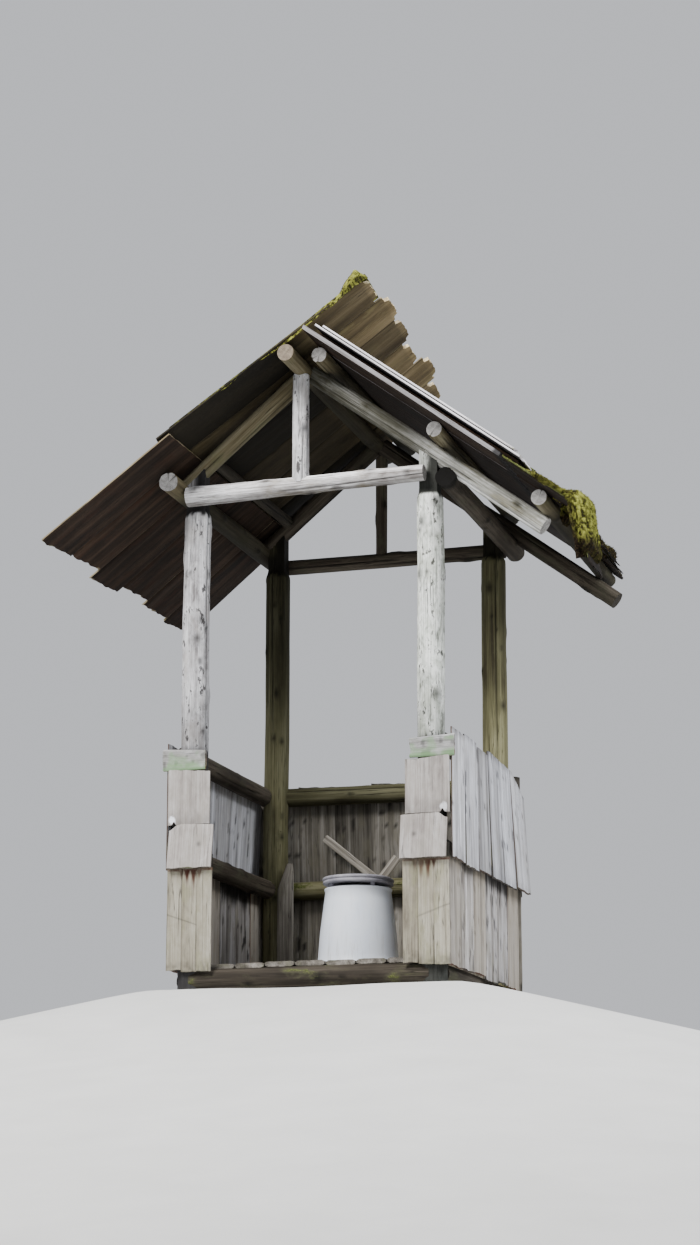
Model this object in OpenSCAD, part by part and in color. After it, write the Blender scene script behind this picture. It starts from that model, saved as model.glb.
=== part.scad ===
// Open pole outhouse: four log posts, a split-board gable roof, waist-high board walls, a floor and a riser.
// Millimetres. X runs across the doorway, Y runs from the doorway to the rear wall, Z is up.
// The origin is on the ground, midway between the four posts.

/* [Posts] */
// Distance between post centres across the front
post_spacing_x = 1220; // [1100:10:1500]
// Distance between post centres from front to rear
post_spacing_y = 1280; // [1150:10:1500]
// Diameter of a post
post_d = 140; // [120:2:150]
// Width of the squared head on a post, across the front
head_w = 100; // [80:2:106]
// Depth of the squared head on a post
head_d = 80; // [60:2:90]

/* [Beams] */
// Diameter of a wall plate log
plate_d = 100; // [84:2:110]
// Depth of the flat hewn on a beam where it meets a post head
beam_flat = 8; // [4:1:14]
// Diameter of the front tie log at its thick left end
tie_d = 100; // [84:2:104]
// Diameter of the front tie log at its thin right end
tie_thin_d = 82; // [70:2:84]
// Height that the thin end of the front tie gains over the thick end
tie_rise = 23; // [0:1:30]
// Diameter of the rear tie log
tie_rear_d = 82; // [70:2:90]
// Diameter of the front king post
king_d = 90; // [60:2:94]
// Diameter of the rear king post
king_rear_d = 64; // [50:2:80]
// Distance that a plate runs past the front post centres
plate_front = 200; // [160:5:240]
// Distance that a plate runs past the rear post centres
plate_rear = 160; // [130:5:180]

/* [Roof frame] */
// Height of the ridge pole centre
ridge_z = 3100; // [2950:10:3250]
// Sideways offset of the ridge pole from the middle
ridge_x = -35; // [-50:1:0]
// Diameter of the ridge pole
ridge_d = 86; // [80:2:96]
// Distance that the ridge pole runs past the front post centres
ridge_front = 350; // [300:5:380]
// Slope of the left side in degrees
pitch_left = 40; // [38:0.5:42]
// Slope of the right side in degrees
pitch_right = 37; // [35.5:0.5:38]
// Diameter of a rafter
rafter_d = 90; // [80:2:92]
// Height of the right rafters above the ridge pole, both measured at their centres
rafter_lift = 14; // [10:1:26]
// Depth of the notch that seats a right rafter on its wall plate
rafter_notch = 25; // [15:1:32]
// Length of the front right rafter down the slope
rafter_run = 1520; // [1500:10:1560]
// Length of the rear right rafter down the slope
rafter_rear_run = 1640; // [1500:10:1680]
// Diameter of a purlin on the right side
purlin_d = 78; // [60:2:84]
// Distance that the right purlins run past the front post centres
purlin_front = 210; // [180:5:240]
// Distance that the right purlins run past the rear post centres
purlin_rear = 175; // [150:5:200]
// Distance down the slope from the ridge to the upper purlin on the right
purlin_upper_run = 95; // [90:5:150]
// Distance down the slope from the ridge to the middle purlin on the right
purlin_middle_run = 830; // [760:10:900]
// Distance down the slope from the ridge to the eave purlin on the right
purlin_eave_run = 1480; // [1420:10:1485]
// Diameter of the pole under the board joint on the left side
pole_left_d = 60; // [50:2:66]

/* [Roof boards] */
// Thickness of a heavy roof board
board_t = 25; // [20:1:30]
// Thickness of the boards set back between the heavy and the thin right boards
middle_t = 20; // [14:1:24]
// Thickness of each of the two thin layers on the right side
thin_t = 15; // [10:1:18]
// Gap between neighbouring roof boards
board_gap = 4; // [2:1:12]
// Number of boards across each course of the roof
roof_boards = 6; // [5:1:8]
// Distance that the roof runs past the rear post centres
roof_rear = 215; // [180:5:240]
// Distance that the left roof runs past the front post centres at the ridge
verge_left = 270; // [240:5:320]
// Distance that the left roof runs past the front post centres at the eave
verge_left_eave = 560; // [420:10:600]
// Distance that the heavy right boards run past the front post centres
verge_right = 385; // [320:5:400]
// Distance that the thin right boards run past the heavy ones
verge_thin = 25; // [10:5:60]
// Distance that the middle layer stays behind the front edge of the heavy boards
verge_setback = 60; // [20:5:100]
// Distance from the ridge to the left eave, down the slope
eave_left_run = 1540; // [1450:10:1600]
// Length that the left boards run on past the ridge at the front
overshoot = 610; // [480:5:620]
// Length that the rearmost left board falls short of the foremost one past the ridge
overshoot_fall = 90; // [0:5:150]
// Distance from the ridge to the board joint on the left side
joint_left_run = 690; // [640:10:740]
// Length that the upper left boards lap over the lower ones
lap_left = 110; // [60:5:130]
// Distance from the ridge to the lower end of the heavy right boards
joint_right_run = 1260; // [1200:10:1290]
// Distance from the ridge to the front end of the right eave, down the slope
eave_right_run = 1700; // [1640:5:1740]
// Distance from the ridge to the rear end of the right eave, down the slope
eave_right_rear_run = 1655; // [1600:5:1700]
// Distance that the eave course stays behind the front edge of the heavy boards
eave_setback = 10; // [0:2:40]
// Length of the drooping end of an eave board
droop_l = 130; // [80:5:160]
// Droop in degrees of the eave boards at their tips
droop = 8; // [4:1:14]
// Length of the broken end that hangs from the foremost eave board
hanging_l = 340; // [150:10:360]
// Turn in degrees from the slope to the hanging end
hanging_turn = 40; // [30:1:50]
// Length that the thin right boards lap over the eave course
lap_right = 80; // [40:5:110]

/* [Walls] */
// Thickness of a wall board
wall_t = 22; // [16:1:28]
// Height of the lower ends of the wall boards above the ground
wall_foot = 85; // [60:5:95]
// Height of the upper edge of the walls
wall_top = 1225; // [1200:5:1260]
// Height of the lower ends of the upper tier
tier_z = 585; // [540:5:610]
// Length that the upper tier laps over the lower tier
tier_lap = 80; // [50:5:110]
// Distance that the rails stand out past the posts
rail_out = 10; // [9:1:14]
// Height of the centre of the top rail
rail_top_z = 1165; // [1110:5:1175]
// Height of the centre of the middle rail
rail_mid_z = 655; // [630:5:700]
// Diameter of a rail
rail_d = 100; // [80:2:110]
// Number of boards in each side wall and in the rear wall
wall_boards = 6; // [5:1:9]
// Gap between neighbouring wall boards
wall_gap = 3; // [2:1:8]
// Slant in degrees that the upper boards of a side wall gain towards the rear corner
flare = 3.6; // [0:0.2:4.4]
// Cut in millimetres off the rear top corner of the last board of a side wall
last_cut = 95; // [20:5:120]
// Width of each front panel beside the doorway
panel_w = 230; // [200:5:300]
// Width that the wide board of a front panel is narrower than the boards under it
panel_narrow = 20; // [10:2:40]
// Distance that the short top piece of a front panel stands out past the wall's corner
panel_top_out = 36; // [0:2:60]
// Height of the top of the short piece above a front panel's wide board
panel_top_z = 1188; // [1150:2:1210]
// Height at which the wide upper board of a front panel is broken across
panel_break_z = 812; // [780:2:900]
// Height of the top of the wide board of a front panel
panel_wide_z = 1072; // [1040:2:1110]

// Length of the long slat left askew on the rear wall
slat_long = 390; // [250:10:420]
// Length of the short slat beside it
slat_short = 160; // [110:5:220]
// Width of a slat
slat_w = 46; // [30:2:50]
// Thickness of a slat
slat_t = 18; // [12:1:22]
// Height of the pointed board that stands on the floor by the rear left post
pointed_h = 663; // [500:5:700]
// Width of the pointed board
pointed_w = 95; // [80:1:130]

/* [Floor] */
// Height of the sills and the joist, hewn flat above and below
sill_h = 102; // [90:2:120]
// Diameter of the logs that the sills and the joist are hewn from
sill_d = 112; // [104:2:130]
// Thickness of a floor board
floor_t = 28; // [20:1:35]
// Number of floor boards
floor_boards = 7; // [5:1:9]
// Gap between floor boards
floor_gap = 5; // [2:1:8]

/* [Riser] */
// Position of the riser from the middle, across the front
riser_x = 100; // [0:5:130]
// Position of the riser from the middle, towards the rear
riser_y = -185; // [-195:5:-185]
// Diameter of the riser at the floor
riser_base_d = 410; // [380:5:430]
// Diameter of the riser at its rim
riser_top_d = 330; // [310:5:350]
// Height of the riser
riser_h = 400; // [370:1:420]
// Wall thickness of the riser
riser_wall = 9; // [6:1:14]
// Width of the seat
seat_w = 336; // [330:2:370]
// Width of the seat's ring
seat_ring = 75; // [60:1:85]
// Extra length of the seat from front to rear
seat_extra = 60; // [40:5:90]
// Thickness of the seat
seat_t = 17; // [14:1:24]
// Height of the pads under the seat
pad_h = 18; // [10:1:22]
// Thickness of the cover
cover_t = 17; // [14:1:24]

/* [Hidden] */
$fn = 48;

// Clearance where a curved face meets its neighbour
seat_gap = 0.3;
// Length of a cutting body that has to reach past everything
far = 4000;

px = post_spacing_x / 2;
py = post_spacing_y / 2;
post_r = post_d / 2;
ridge_r = ridge_d / 2;
rafter_r = rafter_d / 2;
plate_r = plate_d / 2;
purlin_r = purlin_d / 2;
plate_x = px + head_w / 2 + plate_r - beam_flat;

// Height of a line that runs parallel to a slope, at an offset square to it from the ridge pole's centre
function left_z(x, off) = ridge_z + (off + sin(pitch_left) * (x - ridge_x)) / cos(pitch_left);
function right_z(x, off) = ridge_z + (off - sin(pitch_right) * (x - ridge_x)) / cos(pitch_right);

plate_left_z = left_z(-plate_x, ridge_r - plate_r);
plate_right_z = right_z(plate_x, rafter_lift - rafter_r - plate_r + rafter_notch);
shoulder_z = plate_right_z - plate_r - seat_gap;

rafter_left_off = ridge_r - rafter_r;
purlin_off = rafter_lift + rafter_r + purlin_r + seat_gap;
base_off = purlin_off + purlin_r + seat_gap;
// Distance down the right slope at which a face at this offset comes clear of the left boards' underside
function under_left(off) =
    (off * cos(pitch_left + pitch_right) - ridge_r) / sin(pitch_left + pitch_right) + 8;
// Length of a rafter's upper end that is left out beside the ridge pole
rafter_start = 28;

tie_y = py + head_d / 2 + tie_d / 2 - beam_flat;
tie_rear_y = py + head_d / 2 + tie_rear_d / 2 - beam_flat;
tie_left_x = -(px + 0.25 * head_w);
tie_right_x = px - 8;
tie_slant = asin(tie_rise / (tie_right_x - tie_left_x));
tie_left_z = shoulder_z + tie_d / 2 + 4;
// Height of the front tie's centre line
function tie_front_z(x) = tie_left_z + (x - tie_left_x) * tan(tie_slant);
tie_rear_z = shoulder_z + tie_rear_d / 2 + seat_gap;

// Small turn that lets the upper left boards lie on the ridge pole and on the ends of the lower boards
lap_reach = norm([joint_left_run, ridge_r + seat_gap + board_t]);
upper_turn = acos((ridge_r + seat_gap) / lap_reach) - atan2(joint_left_run, ridge_r + seat_gap + board_t);

rail_x = px + post_r + rail_out - rail_d / 2;
rail_y = py + post_r + rail_out - rail_d / 2;
sill_x = px + post_r + rail_out - sill_d / 2;
sill_front_y = -(py + post_r - sill_d / 2);
sill_rear_y = py + post_r + rail_out - sill_d / 2;
wall_x = px + post_r + rail_out + seat_gap;
wall_y = py + post_r + rail_out + seat_gap;
// Length of a side wall, from the front panel's back to just short of the rear wall's leaning heads
side_l = py + post_r + wall_y - 14;
lap_z = tier_z + tier_lap;
// Distance that the upper tier of a side wall stands out past the lower one
tier_out = wall_t + seat_gap;
floor_z = sill_h + floor_t;
rim_z = floor_z + riser_h;
seat_z = rim_z + pad_h;
cover_z = seat_z + seat_t;

silver = [0.66, 0.65, 0.62];
shaded = [0.33, 0.28, 0.22];
grey_board = [0.58, 0.56, 0.55];
moss_board = [0.36, 0.35, 0.2];

// Uneven share between -1 and 1 that differs from board to board and is the same every time
function ragged(i, seed) = sin(i * 137.5 + seed * 71.3);

module log_along_y(x, z, d, y0, y1) {
    translate([x, y0, z]) rotate([-90, 0, 0]) cylinder(d = d, h = y1 - y0);
}

module log_along_x(y, z, d, x0, x1) {
    translate([x0, y, z]) rotate([0, 90, 0]) cylinder(d = d, h = x1 - x0);
}

module log_up(x, y, d, z0, z1) {
    translate([x, y, z0]) cylinder(d = d, h = z1 - z0);
}

// Slopes: local x runs down the slope from the ridge, local z runs square to it from the ridge pole's centre
module on_left_slope(turn = 0) {
    translate([ridge_x, 0, ridge_z]) rotate([0, turn - pitch_left, 0]) mirror([1, 0, 0]) children();
}

module on_right_slope() {
    translate([ridge_x, 0, ridge_z]) rotate([0, pitch_right, 0]) children();
}

module ridge_log(grow = 0) {
    log_along_y(ridge_x, ridge_z, ridge_d + 2 * grow, -py - ridge_front, py + roof_rear - 10);
}

module plate_log(side, grow = 0) {
    z = side < 0 ? plate_left_z : plate_right_z;
    front = side < 0 ? plate_front : post_r;
    log_along_y(side * plate_x, z, plate_d + 2 * grow, -py - front, py + plate_rear);
}

module rafter_log(side, end, grow = 0) {
    if (side < 0) {
        on_left_slope() translate([rafter_start, end * py, rafter_left_off]) rotate([0, 90, 0])
            cylinder(d = rafter_d + 2 * grow, h = (plate_x + ridge_x) / cos(pitch_left) - rafter_start);
    } else {
        on_right_slope() translate([rafter_start, end * py, rafter_lift]) rotate([0, 90, 0])
            cylinder(d = rafter_d + 2 * grow, h = (end < 0 ? rafter_run : rafter_rear_run) - rafter_start);
    }
}

module front_tie_log(grow = 0) {
    translate([tie_left_x, -tie_y, tie_left_z]) rotate([0, 90 - tie_slant, 0])
        cylinder(d1 = tie_d + 2 * grow, d2 = tie_thin_d + 2 * grow, h = tie_right_x - tie_left_x);
}

module rear_tie_log(grow = 0) {
    log_along_x(tie_rear_y, tie_rear_z, tie_rear_d + 2 * grow, -px - head_w / 2, px + head_w / 2);
}

// Space above a rafter's centre line, which trims a post head
module above_rafter(side) {
    if (side < 0) {
        on_left_slope() translate([-far / 2, -far / 2, rafter_left_off - 4]) cube(far);
    } else {
        on_right_slope() translate([-far / 2, -far / 2, rafter_lift - 4]) cube(far);
    }
}

// Round post with a squared head that stands up between the beams and is scribed to the rafter
module post(side, end) {
    color(end < 0 ? silver : shaded) {
        log_up(side * px, end * py, post_d, 0, shoulder_z);
        difference() {
            translate([side * px - head_w / 2, end * py - head_d / 2, shoulder_z]) cube([head_w, head_d, ridge_z - shoulder_z]);
            above_rafter(side);
            rafter_log(side, end, seat_gap);
        }
    }
}

module tie_front() {
    color(silver) difference() {
        front_tie_log();
        translate([-far / 2, -py - head_d / 2, 0]) cube(far);
    }
}

module tie_rear() {
    color(shaded) difference() {
        rear_tie_log();
        translate([-far / 2, py + head_d / 2 - far, 0]) cube(far);
    }
}

module wall_plate(side) {
    color(shaded) difference() {
        plate_log(side);
        translate([side < 0 ? -px - head_w / 2 : px + head_w / 2 - far, -far / 2, 0]) cube(far);
    }
}

module king_post(end) {
    d = end < 0 ? king_d : king_rear_d;
    y = end < 0 ? -tie_y : tie_rear_y;
    color(end < 0 ? silver : shaded) difference() {
        log_up(ridge_x, y, d, end < 0 ? tie_front_z(ridge_x) : tie_rear_z, ridge_z - 0.8 * ridge_r);
        front_tie_log(seat_gap);
        rear_tie_log(seat_gap);
        ridge_log(seat_gap);
        translate([-far / 2, end < 0 ? -py - rafter_r - seat_gap : py + rafter_r + seat_gap - far, 0]) cube(far);
    }
}

module ridge_pole() {
    color(shaded) ridge_log();
}

module rafter(side, end) {
    color(side < 0 ? shaded : silver) difference() {
        rafter_log(side, end);
        ridge_log(seat_gap);
        plate_log(side, seat_gap);
    }
}

module purlin(run) {
    color(silver) on_right_slope()
        log_along_y(run, purlin_off, purlin_d, -py - purlin_front, py + purlin_rear);
}

module pole_left_middle() {
    color(shaded) difference() {
        on_left_slope() log_along_y(joint_left_run - 40, ridge_r - pole_left_d / 2, pole_left_d, -py, py);
        rafter_log(-1, -1, seat_gap);
        rafter_log(-1, 1, seat_gap);
    }
}

// Edge of the left roof at a distance down the slope: the front verge spreads towards the eave
function left_front(run) =
    -py - verge_left - (verge_left_eave - verge_left) * (run + overshoot) / (eave_left_run + overshoot);

// Course of boards between two distances down the slope, each starting further down by a share of the fall
module left_course(run0, run1, t, uneven0, uneven1, fall, seed) {
    rear = py + roof_rear;
    for (i = [0 : roof_boards - 1]) {
        upper_end = run0 + fall * i / (roof_boards - 1) + uneven0 * (1 + ragged(i, seed)) / 2;
        lower_end = run1 - uneven1 * (1 + ragged(i, seed + 1)) / 2;
        step0 = (rear - left_front(upper_end)) / roof_boards;
        step1 = (rear - left_front(lower_end)) / roof_boards;
        y0 = left_front(upper_end) + i * step0;
        y1 = left_front(lower_end) + i * step1;
        linear_extrude(t) polygon([
            [upper_end, y0],
            [lower_end, y1],
            [lower_end - 0.2 * uneven1, y1 + step1 - board_gap],
            [upper_end + 0.35 * uneven0, y0 + step0 - board_gap],
        ]);
    }
}

module right_course(front, run0, run1, t, count, uneven0, uneven1, seed) {
    step = (py + roof_rear + front + py) / count;
    for (i = [0 : count - 1]) {
        upper_end = run0 + uneven0 * (1 + ragged(i, seed)) / 2;
        lower_end = run1 - uneven1 * (1 + ragged(i, seed + 1)) / 2;
        y = -py - front + i * step;
        linear_extrude(t) polygon([
            [upper_end, y],
            [lower_end, y],
            [lower_end - 0.3 * uneven1, y + step - board_gap],
            [upper_end, y + step - board_gap],
        ]);
    }
}

module roof_left_upper() {
    color(grey_board) on_left_slope(upper_turn) translate([0, 0, ridge_r + seat_gap])
        left_course(-overshoot, joint_left_run + lap_left, board_t, 60, 40, overshoot_fall, 1);
}

module roof_left_lower() {
    color(shaded) on_left_slope() translate([0, 0, ridge_r + seat_gap])
        left_course(joint_left_run, eave_left_run, board_t, 0, 60, 0, 4);
}

module roof_right_base() {
    color(silver) on_right_slope() translate([0, 0, base_off])
        right_course(verge_right, under_left(base_off + board_t), joint_right_run, board_t, roof_boards, 12, 0, 2);
}

module roof_right_thin() {
    middle_off = base_off + board_t + seat_gap;
    thin_off = middle_off + middle_t + seat_gap;
    start = under_left(thin_off + 2 * thin_t) + 50;
    end = joint_right_run + lap_right;
    color(silver) on_right_slope() {
        translate([0, 0, middle_off])
            right_course(verge_right - verge_setback, start + 10, end, middle_t, roof_boards, 20, 30, 3);
        translate([0, 0, thin_off])
            right_course(verge_right + verge_thin, start, end + 25, thin_t, roof_boards + 1, 30, 30, 3);
        translate([0, 0, thin_off + thin_t + seat_gap])
            right_course(verge_right + verge_thin - 12, start + 20, end + 12, thin_t, roof_boards, 20, 40, 6);
    }
}

// Board of the eave course: it lies flat down to the eave purlin and droops from there
module drooping_board(start, bend, end, angle, width, t) {
    rotate([90, 0, 0]) mirror([0, 0, 1]) linear_extrude(width) polygon([
        [start, 0],
        [bend, 0],
        [bend + (end - bend) * cos(angle), -(end - bend) * sin(angle)],
        [bend + (end - bend) * cos(angle) + t * sin(angle), -(end - bend) * sin(angle) + t * cos(angle)],
        [bend + t * tan(angle / 2), t],
        [start, t],
    ]);
}

// Eave course: the foremost board is broken past the eave and its end hangs down
module roof_right_eave() {
    front = py + verge_right - eave_setback;
    step = (py + roof_rear + front) / roof_boards;
    color(moss_board) on_right_slope() for (i = [0 : roof_boards - 1]) {
        share = i / (roof_boards - 1);
        end = eave_right_run - share * (eave_right_run - eave_right_rear_run) - 12 * (1 + ragged(i, 8));
        translate([0, i * step - front, base_off]) {
            if (i == 0) {
                drooping_board(joint_right_run + board_gap, end, end + hanging_l, hanging_turn, step - board_gap, board_t);
            } else {
                drooping_board(joint_right_run + board_gap, end - droop_l, end, droop * (1 - 0.6 * share),
                    step - board_gap, board_t);
            }
        }
    }
}

module hewn_sill(y_centre) {
    intersection() {
        log_along_x(y_centre, sill_h / 2, sill_d, -px, px);
        translate([-far / 2, -far / 2, 0]) cube([far, far, sill_h]);
    }
}

module posts_only(grow) {
    for (side = [-1, 1], end = [-1, 1]) log_up(side * px, end * py, post_d + 2 * grow, -1, rail_top_z + rail_d);
}

module sill_across(end) {
    color(shaded) difference() {
        hewn_sill(end < 0 ? sill_front_y : sill_rear_y);
        side_sill_log(-1, seat_gap);
        side_sill_log(1, seat_gap);
        posts_only(seat_gap);
    }
}

module side_sill_log(side, grow = 0) {
    intersection() {
        log_along_y(side * sill_x, sill_h / 2, sill_d + 2 * grow, -py, py);
        translate([-far / 2, -far / 2, 0]) cube([far, far, sill_h]);
    }
}

module sill_along(side) {
    color(shaded) difference() {
        side_sill_log(side);
        posts_only(seat_gap);
    }
}

module floor_joist() {
    color(shaded) difference() {
        hewn_sill(0);
        side_sill_log(-1, seat_gap);
        side_sill_log(1, seat_gap);
    }
}

module floor_boards_all() {
    width = (2 * (px - post_r - 6) + floor_gap) / floor_boards;
    color(grey_board) difference() {
        for (i = [0 : floor_boards - 1])
            translate([-px + post_r + 6 + i * width, -py - 26, sill_h])
                cube([width - floor_gap, 2 * py + 52, floor_t]);
        translate([riser_x, riser_y, sill_h - 1]) cylinder(d = riser_top_d - 90, h = floor_t + 2);
    }
}

module rails_side(side) {
    color(shaded) difference() {
        union() {
            log_along_y(side * rail_x, rail_mid_z, rail_d, -py, py);
            log_along_y(side * (rail_x + tier_out), rail_top_z, rail_d, -py, py);
        }
        posts_only(seat_gap);
    }
}

module rails_rear() {
    color(shaded) difference() {
        for (z = [rail_mid_z, rail_top_z]) log_along_x(rail_y, z, rail_d, -px, px);
        posts_only(seat_gap);
    }
}

// Upright board: x across, y is its thickness outwards, foot and head are uneven
module upright(width, z0, z1, t, head_cut) {
    rotate([90, 0, 0]) mirror([0, 0, 1]) linear_extrude(t)
        polygon([[0, z0], [width, z0], [width, z1 - head_cut], [0, z1]]);
}

// Row of upright boards from 0 to length; an upper tier may slant, each board further than the last
module lower_tier(length, count, seed) {
    step = (length + wall_gap) / count;
    for (i = [0 : count - 1])
        translate([i * step, 0, 0])
            upright(step - wall_gap, wall_foot + 8 * ragged(i, seed), lap_z, wall_t, 6);
}

module upper_tier(length, count, seed, slant, extra, corner) {
    step = (length + wall_gap) / count;
    for (i = [0 : count - 1])
        translate([i * step, 0, rail_top_z]) rotate([slant + extra * i / (count - 1), 0, 0])
            translate([0, 0, -rail_top_z])
                upright(step - wall_gap, tier_z + 6 * ragged(i, seed + 2), wall_top + 10 * ragged(i, seed), wall_t,
                    i == count - 1 ? corner : 8);
}

module wall_rear_lower() {
    color(shaded) translate([-wall_x - wall_t, wall_y, 0]) lower_tier(2 * (wall_x + wall_t), wall_boards + 1, 3);
}

module wall_rear_upper() {
    reach = wall_x + tier_out;
    color(shaded) translate([-reach, wall_y, 0])
        upper_tier(2 * reach, wall_boards + 1, 5, asin(tier_out / (rail_top_z - lap_z)), 0, 8);
}

// Side walls: the boards start at the front corner and run to the rear corner
module side_wall_frame(side) {
    if (side > 0) {
        translate([wall_x, -py - post_r, 0]) rotate([0, 0, 90]) mirror([0, 1, 0]) children();
    } else {
        mirror([1, 0, 0]) side_wall_frame(1) children();
    }
}

module wall_side_lower(side) {
    color(grey_board) side_wall_frame(side) lower_tier(side_l, wall_boards, side + 2);
}

module wall_side_upper(side) {
    color(grey_board) side_wall_frame(side) translate([0, tier_out, 0])
        upper_tier(side_l, wall_boards, side + 4, 0, flare, last_cut);
}

module front_panel(side) {
    color(grey_board) mirror([side < 0 ? 1 : 0, 0, 0])
        translate([wall_x + wall_t, -py - post_r - seat_gap, 0]) mirror([1, 0, 0]) mirror([0, 1, 0]) {
            lower_tier(panel_w, 3, side + 7);
            // Lower half of the broken wide board, leaning out over the lower tier
            translate([10, 0, panel_break_z]) rotate([asin(tier_out / (panel_break_z - lap_z)), 0, 0])
                translate([0, 0, -panel_break_z]) upright(panel_w - 8, tier_z - 4, panel_break_z, wall_t, 12);
            translate([0, 0, panel_break_z + 4])
                upright(panel_w - panel_narrow, 0, panel_wide_z - panel_break_z - 4, wall_t, 14);
            translate([-panel_top_out, 0, panel_wide_z + 4])
                upright(panel_w, 0, panel_top_z - panel_wide_z - 4, wall_t, 10);
        }
}

// Slat that stands askew on the middle rail of the rear wall, in the plane at this distance from the rail's centre
module slat(foot_x, length, lean, shift) {
    difference() {
        translate([foot_x, rail_y + shift, rail_mid_z + rail_d / 2 - 12]) rotate([0, lean, 0])
            translate([-slat_w / 2, 0, 0]) cube([slat_w, slat_t, length]);
        log_along_x(rail_y, rail_mid_z, rail_d + 2 * seat_gap, -px, px);
    }
}

module loose_slats() {
    color(grey_board) {
        slat(-46, slat_long, -51, 1);
        slat(-38, slat_short, 39, -slat_t - 1);
        translate([-px + 32, py - post_r - slat_t - seat_gap, floor_z]) pointed_board();
    }
}

module pointed_board() {
    rotate([90, 0, 0]) mirror([0, 0, 1]) linear_extrude(slat_t) polygon([
        [0, 0],
        [pointed_w, 0],
        [pointed_w, pointed_h - 60],
        [0.92 * pointed_w, pointed_h],
        [0.6 * pointed_w, pointed_h],
        [0, pointed_h - 140],
    ]);
}

module stadium(d, extra) {
    for (end = [-1, 1]) translate([0, end * extra / 2]) circle(d = d);
    translate([-d / 2, -extra / 2]) square([d, extra]);
}

module toilet_riser() {
    base_r = riser_base_d / 2;
    top_r = riser_top_d / 2;
    color([0.86, 0.89, 0.94]) translate([riser_x, riser_y, floor_z]) rotate_extrude() polygon([
        [base_r - riser_wall, 0],
        [base_r + 12, 0],
        [base_r + 12, riser_wall],
        [base_r, riser_wall],
        [base_r - 14, riser_h * 0.45],
        [top_r, riser_h - 14],
        [top_r + 5, riser_h - 10],
        [top_r + 5, riser_h],
        [top_r - 34, riser_h],
        [top_r - 34, riser_h - riser_wall],
        [top_r - riser_wall, riser_h - riser_wall - 8],
        [base_r - 14 - riser_wall, riser_h * 0.45],
    ]);
}

module toilet_seat() {
    color([0.5, 0.5, 0.54]) translate([riser_x, riser_y, 0]) {
        translate([0, 0, seat_z]) linear_extrude(seat_t) difference() {
            stadium(seat_w, seat_extra);
            stadium(seat_w - 2 * seat_ring, seat_extra);
        }
        for (a = [45 : 90 : 315]) rotate(a) translate([riser_top_d / 2 - 15, 0, rim_z]) cylinder(d = 24, h = pad_h);
    }
}

module toilet_cover() {
    color([0.55, 0.54, 0.58]) translate([riser_x, riser_y, cover_z]) linear_extrude(cover_t)
        stadium(seat_w + 6, seat_extra);
}

post(-1, -1);  // post_front_left
post(1, -1);  // post_front_right
post(-1, 1);  // post_rear_left
post(1, 1);  // post_rear_right
tie_front();
tie_rear();
wall_plate(-1);  // wall_plate_left
wall_plate(1);  // wall_plate_right
king_post(-1);  // king_post_front
king_post(1);  // king_post_rear
ridge_pole();
rafter(-1, -1);  // rafter_front_left
rafter(1, -1);  // rafter_front_right
rafter(-1, 1);  // rafter_rear_left
rafter(1, 1);  // rafter_rear_right
purlin(purlin_upper_run);  // purlin_right_upper
purlin(purlin_middle_run);  // purlin_right_middle
purlin(purlin_eave_run);  // purlin_right_eave
pole_left_middle();
roof_left_upper();
roof_left_lower();
roof_right_base();
roof_right_thin();
roof_right_eave();
sill_across(-1);  // sill_front
sill_across(1);  // sill_rear
sill_along(-1);  // sill_left
sill_along(1);  // sill_right
floor_joist();
floor_boards_all();
rails_side(-1);  // rails_left
rails_side(1);  // rails_right
rails_rear();
wall_side_lower(-1);  // wall_left_lower
wall_side_upper(-1);  // wall_left_upper
wall_side_lower(1);  // wall_right_lower
wall_side_upper(1);  // wall_right_upper
wall_rear_lower();
wall_rear_upper();
front_panel(-1);  // front_panel_left
front_panel(1);  // front_panel_right
loose_slats();
toilet_riser();
toilet_seat();
toilet_cover();
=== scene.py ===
import math
from functools import lru_cache, partial

import bpy
import numpy as np
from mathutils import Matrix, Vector


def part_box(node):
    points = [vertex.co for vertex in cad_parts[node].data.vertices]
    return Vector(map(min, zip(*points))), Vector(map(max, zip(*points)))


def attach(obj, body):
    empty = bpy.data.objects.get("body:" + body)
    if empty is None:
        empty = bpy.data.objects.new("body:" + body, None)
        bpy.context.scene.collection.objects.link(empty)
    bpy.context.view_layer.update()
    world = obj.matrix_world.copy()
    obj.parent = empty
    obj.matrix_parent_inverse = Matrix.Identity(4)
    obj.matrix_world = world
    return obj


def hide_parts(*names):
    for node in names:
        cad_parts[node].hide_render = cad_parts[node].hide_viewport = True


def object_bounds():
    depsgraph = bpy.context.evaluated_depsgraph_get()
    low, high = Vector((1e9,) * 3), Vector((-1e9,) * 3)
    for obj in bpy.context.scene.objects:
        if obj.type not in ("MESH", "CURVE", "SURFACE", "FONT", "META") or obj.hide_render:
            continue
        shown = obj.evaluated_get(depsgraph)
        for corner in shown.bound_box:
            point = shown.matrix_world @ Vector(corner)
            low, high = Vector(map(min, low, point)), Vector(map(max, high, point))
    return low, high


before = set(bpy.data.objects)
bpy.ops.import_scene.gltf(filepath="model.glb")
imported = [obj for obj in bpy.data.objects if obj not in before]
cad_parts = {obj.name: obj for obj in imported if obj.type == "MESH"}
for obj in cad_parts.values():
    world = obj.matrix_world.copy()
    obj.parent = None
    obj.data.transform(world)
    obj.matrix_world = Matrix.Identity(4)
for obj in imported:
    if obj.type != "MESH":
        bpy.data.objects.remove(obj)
CAD_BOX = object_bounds()
BOX_LOW = np.array(CAD_BOX[0])
BOX_HIGH = np.array(CAD_BOX[1])

# Sizes in metres and angles in degrees, repeated from the part's source
PITCH_LEFT, PITCH_RIGHT = 40, 37
SLAT_LEANS = (-51, 39)
TIE_RADII = (0.050, 0.041)
HEAD_HALF = (0.050, 0.040)
RISER_WALL, RISER_TOP = 0.009, 0.165
PAD_H = 0.018
X, Y, Z = np.eye(3)


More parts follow.
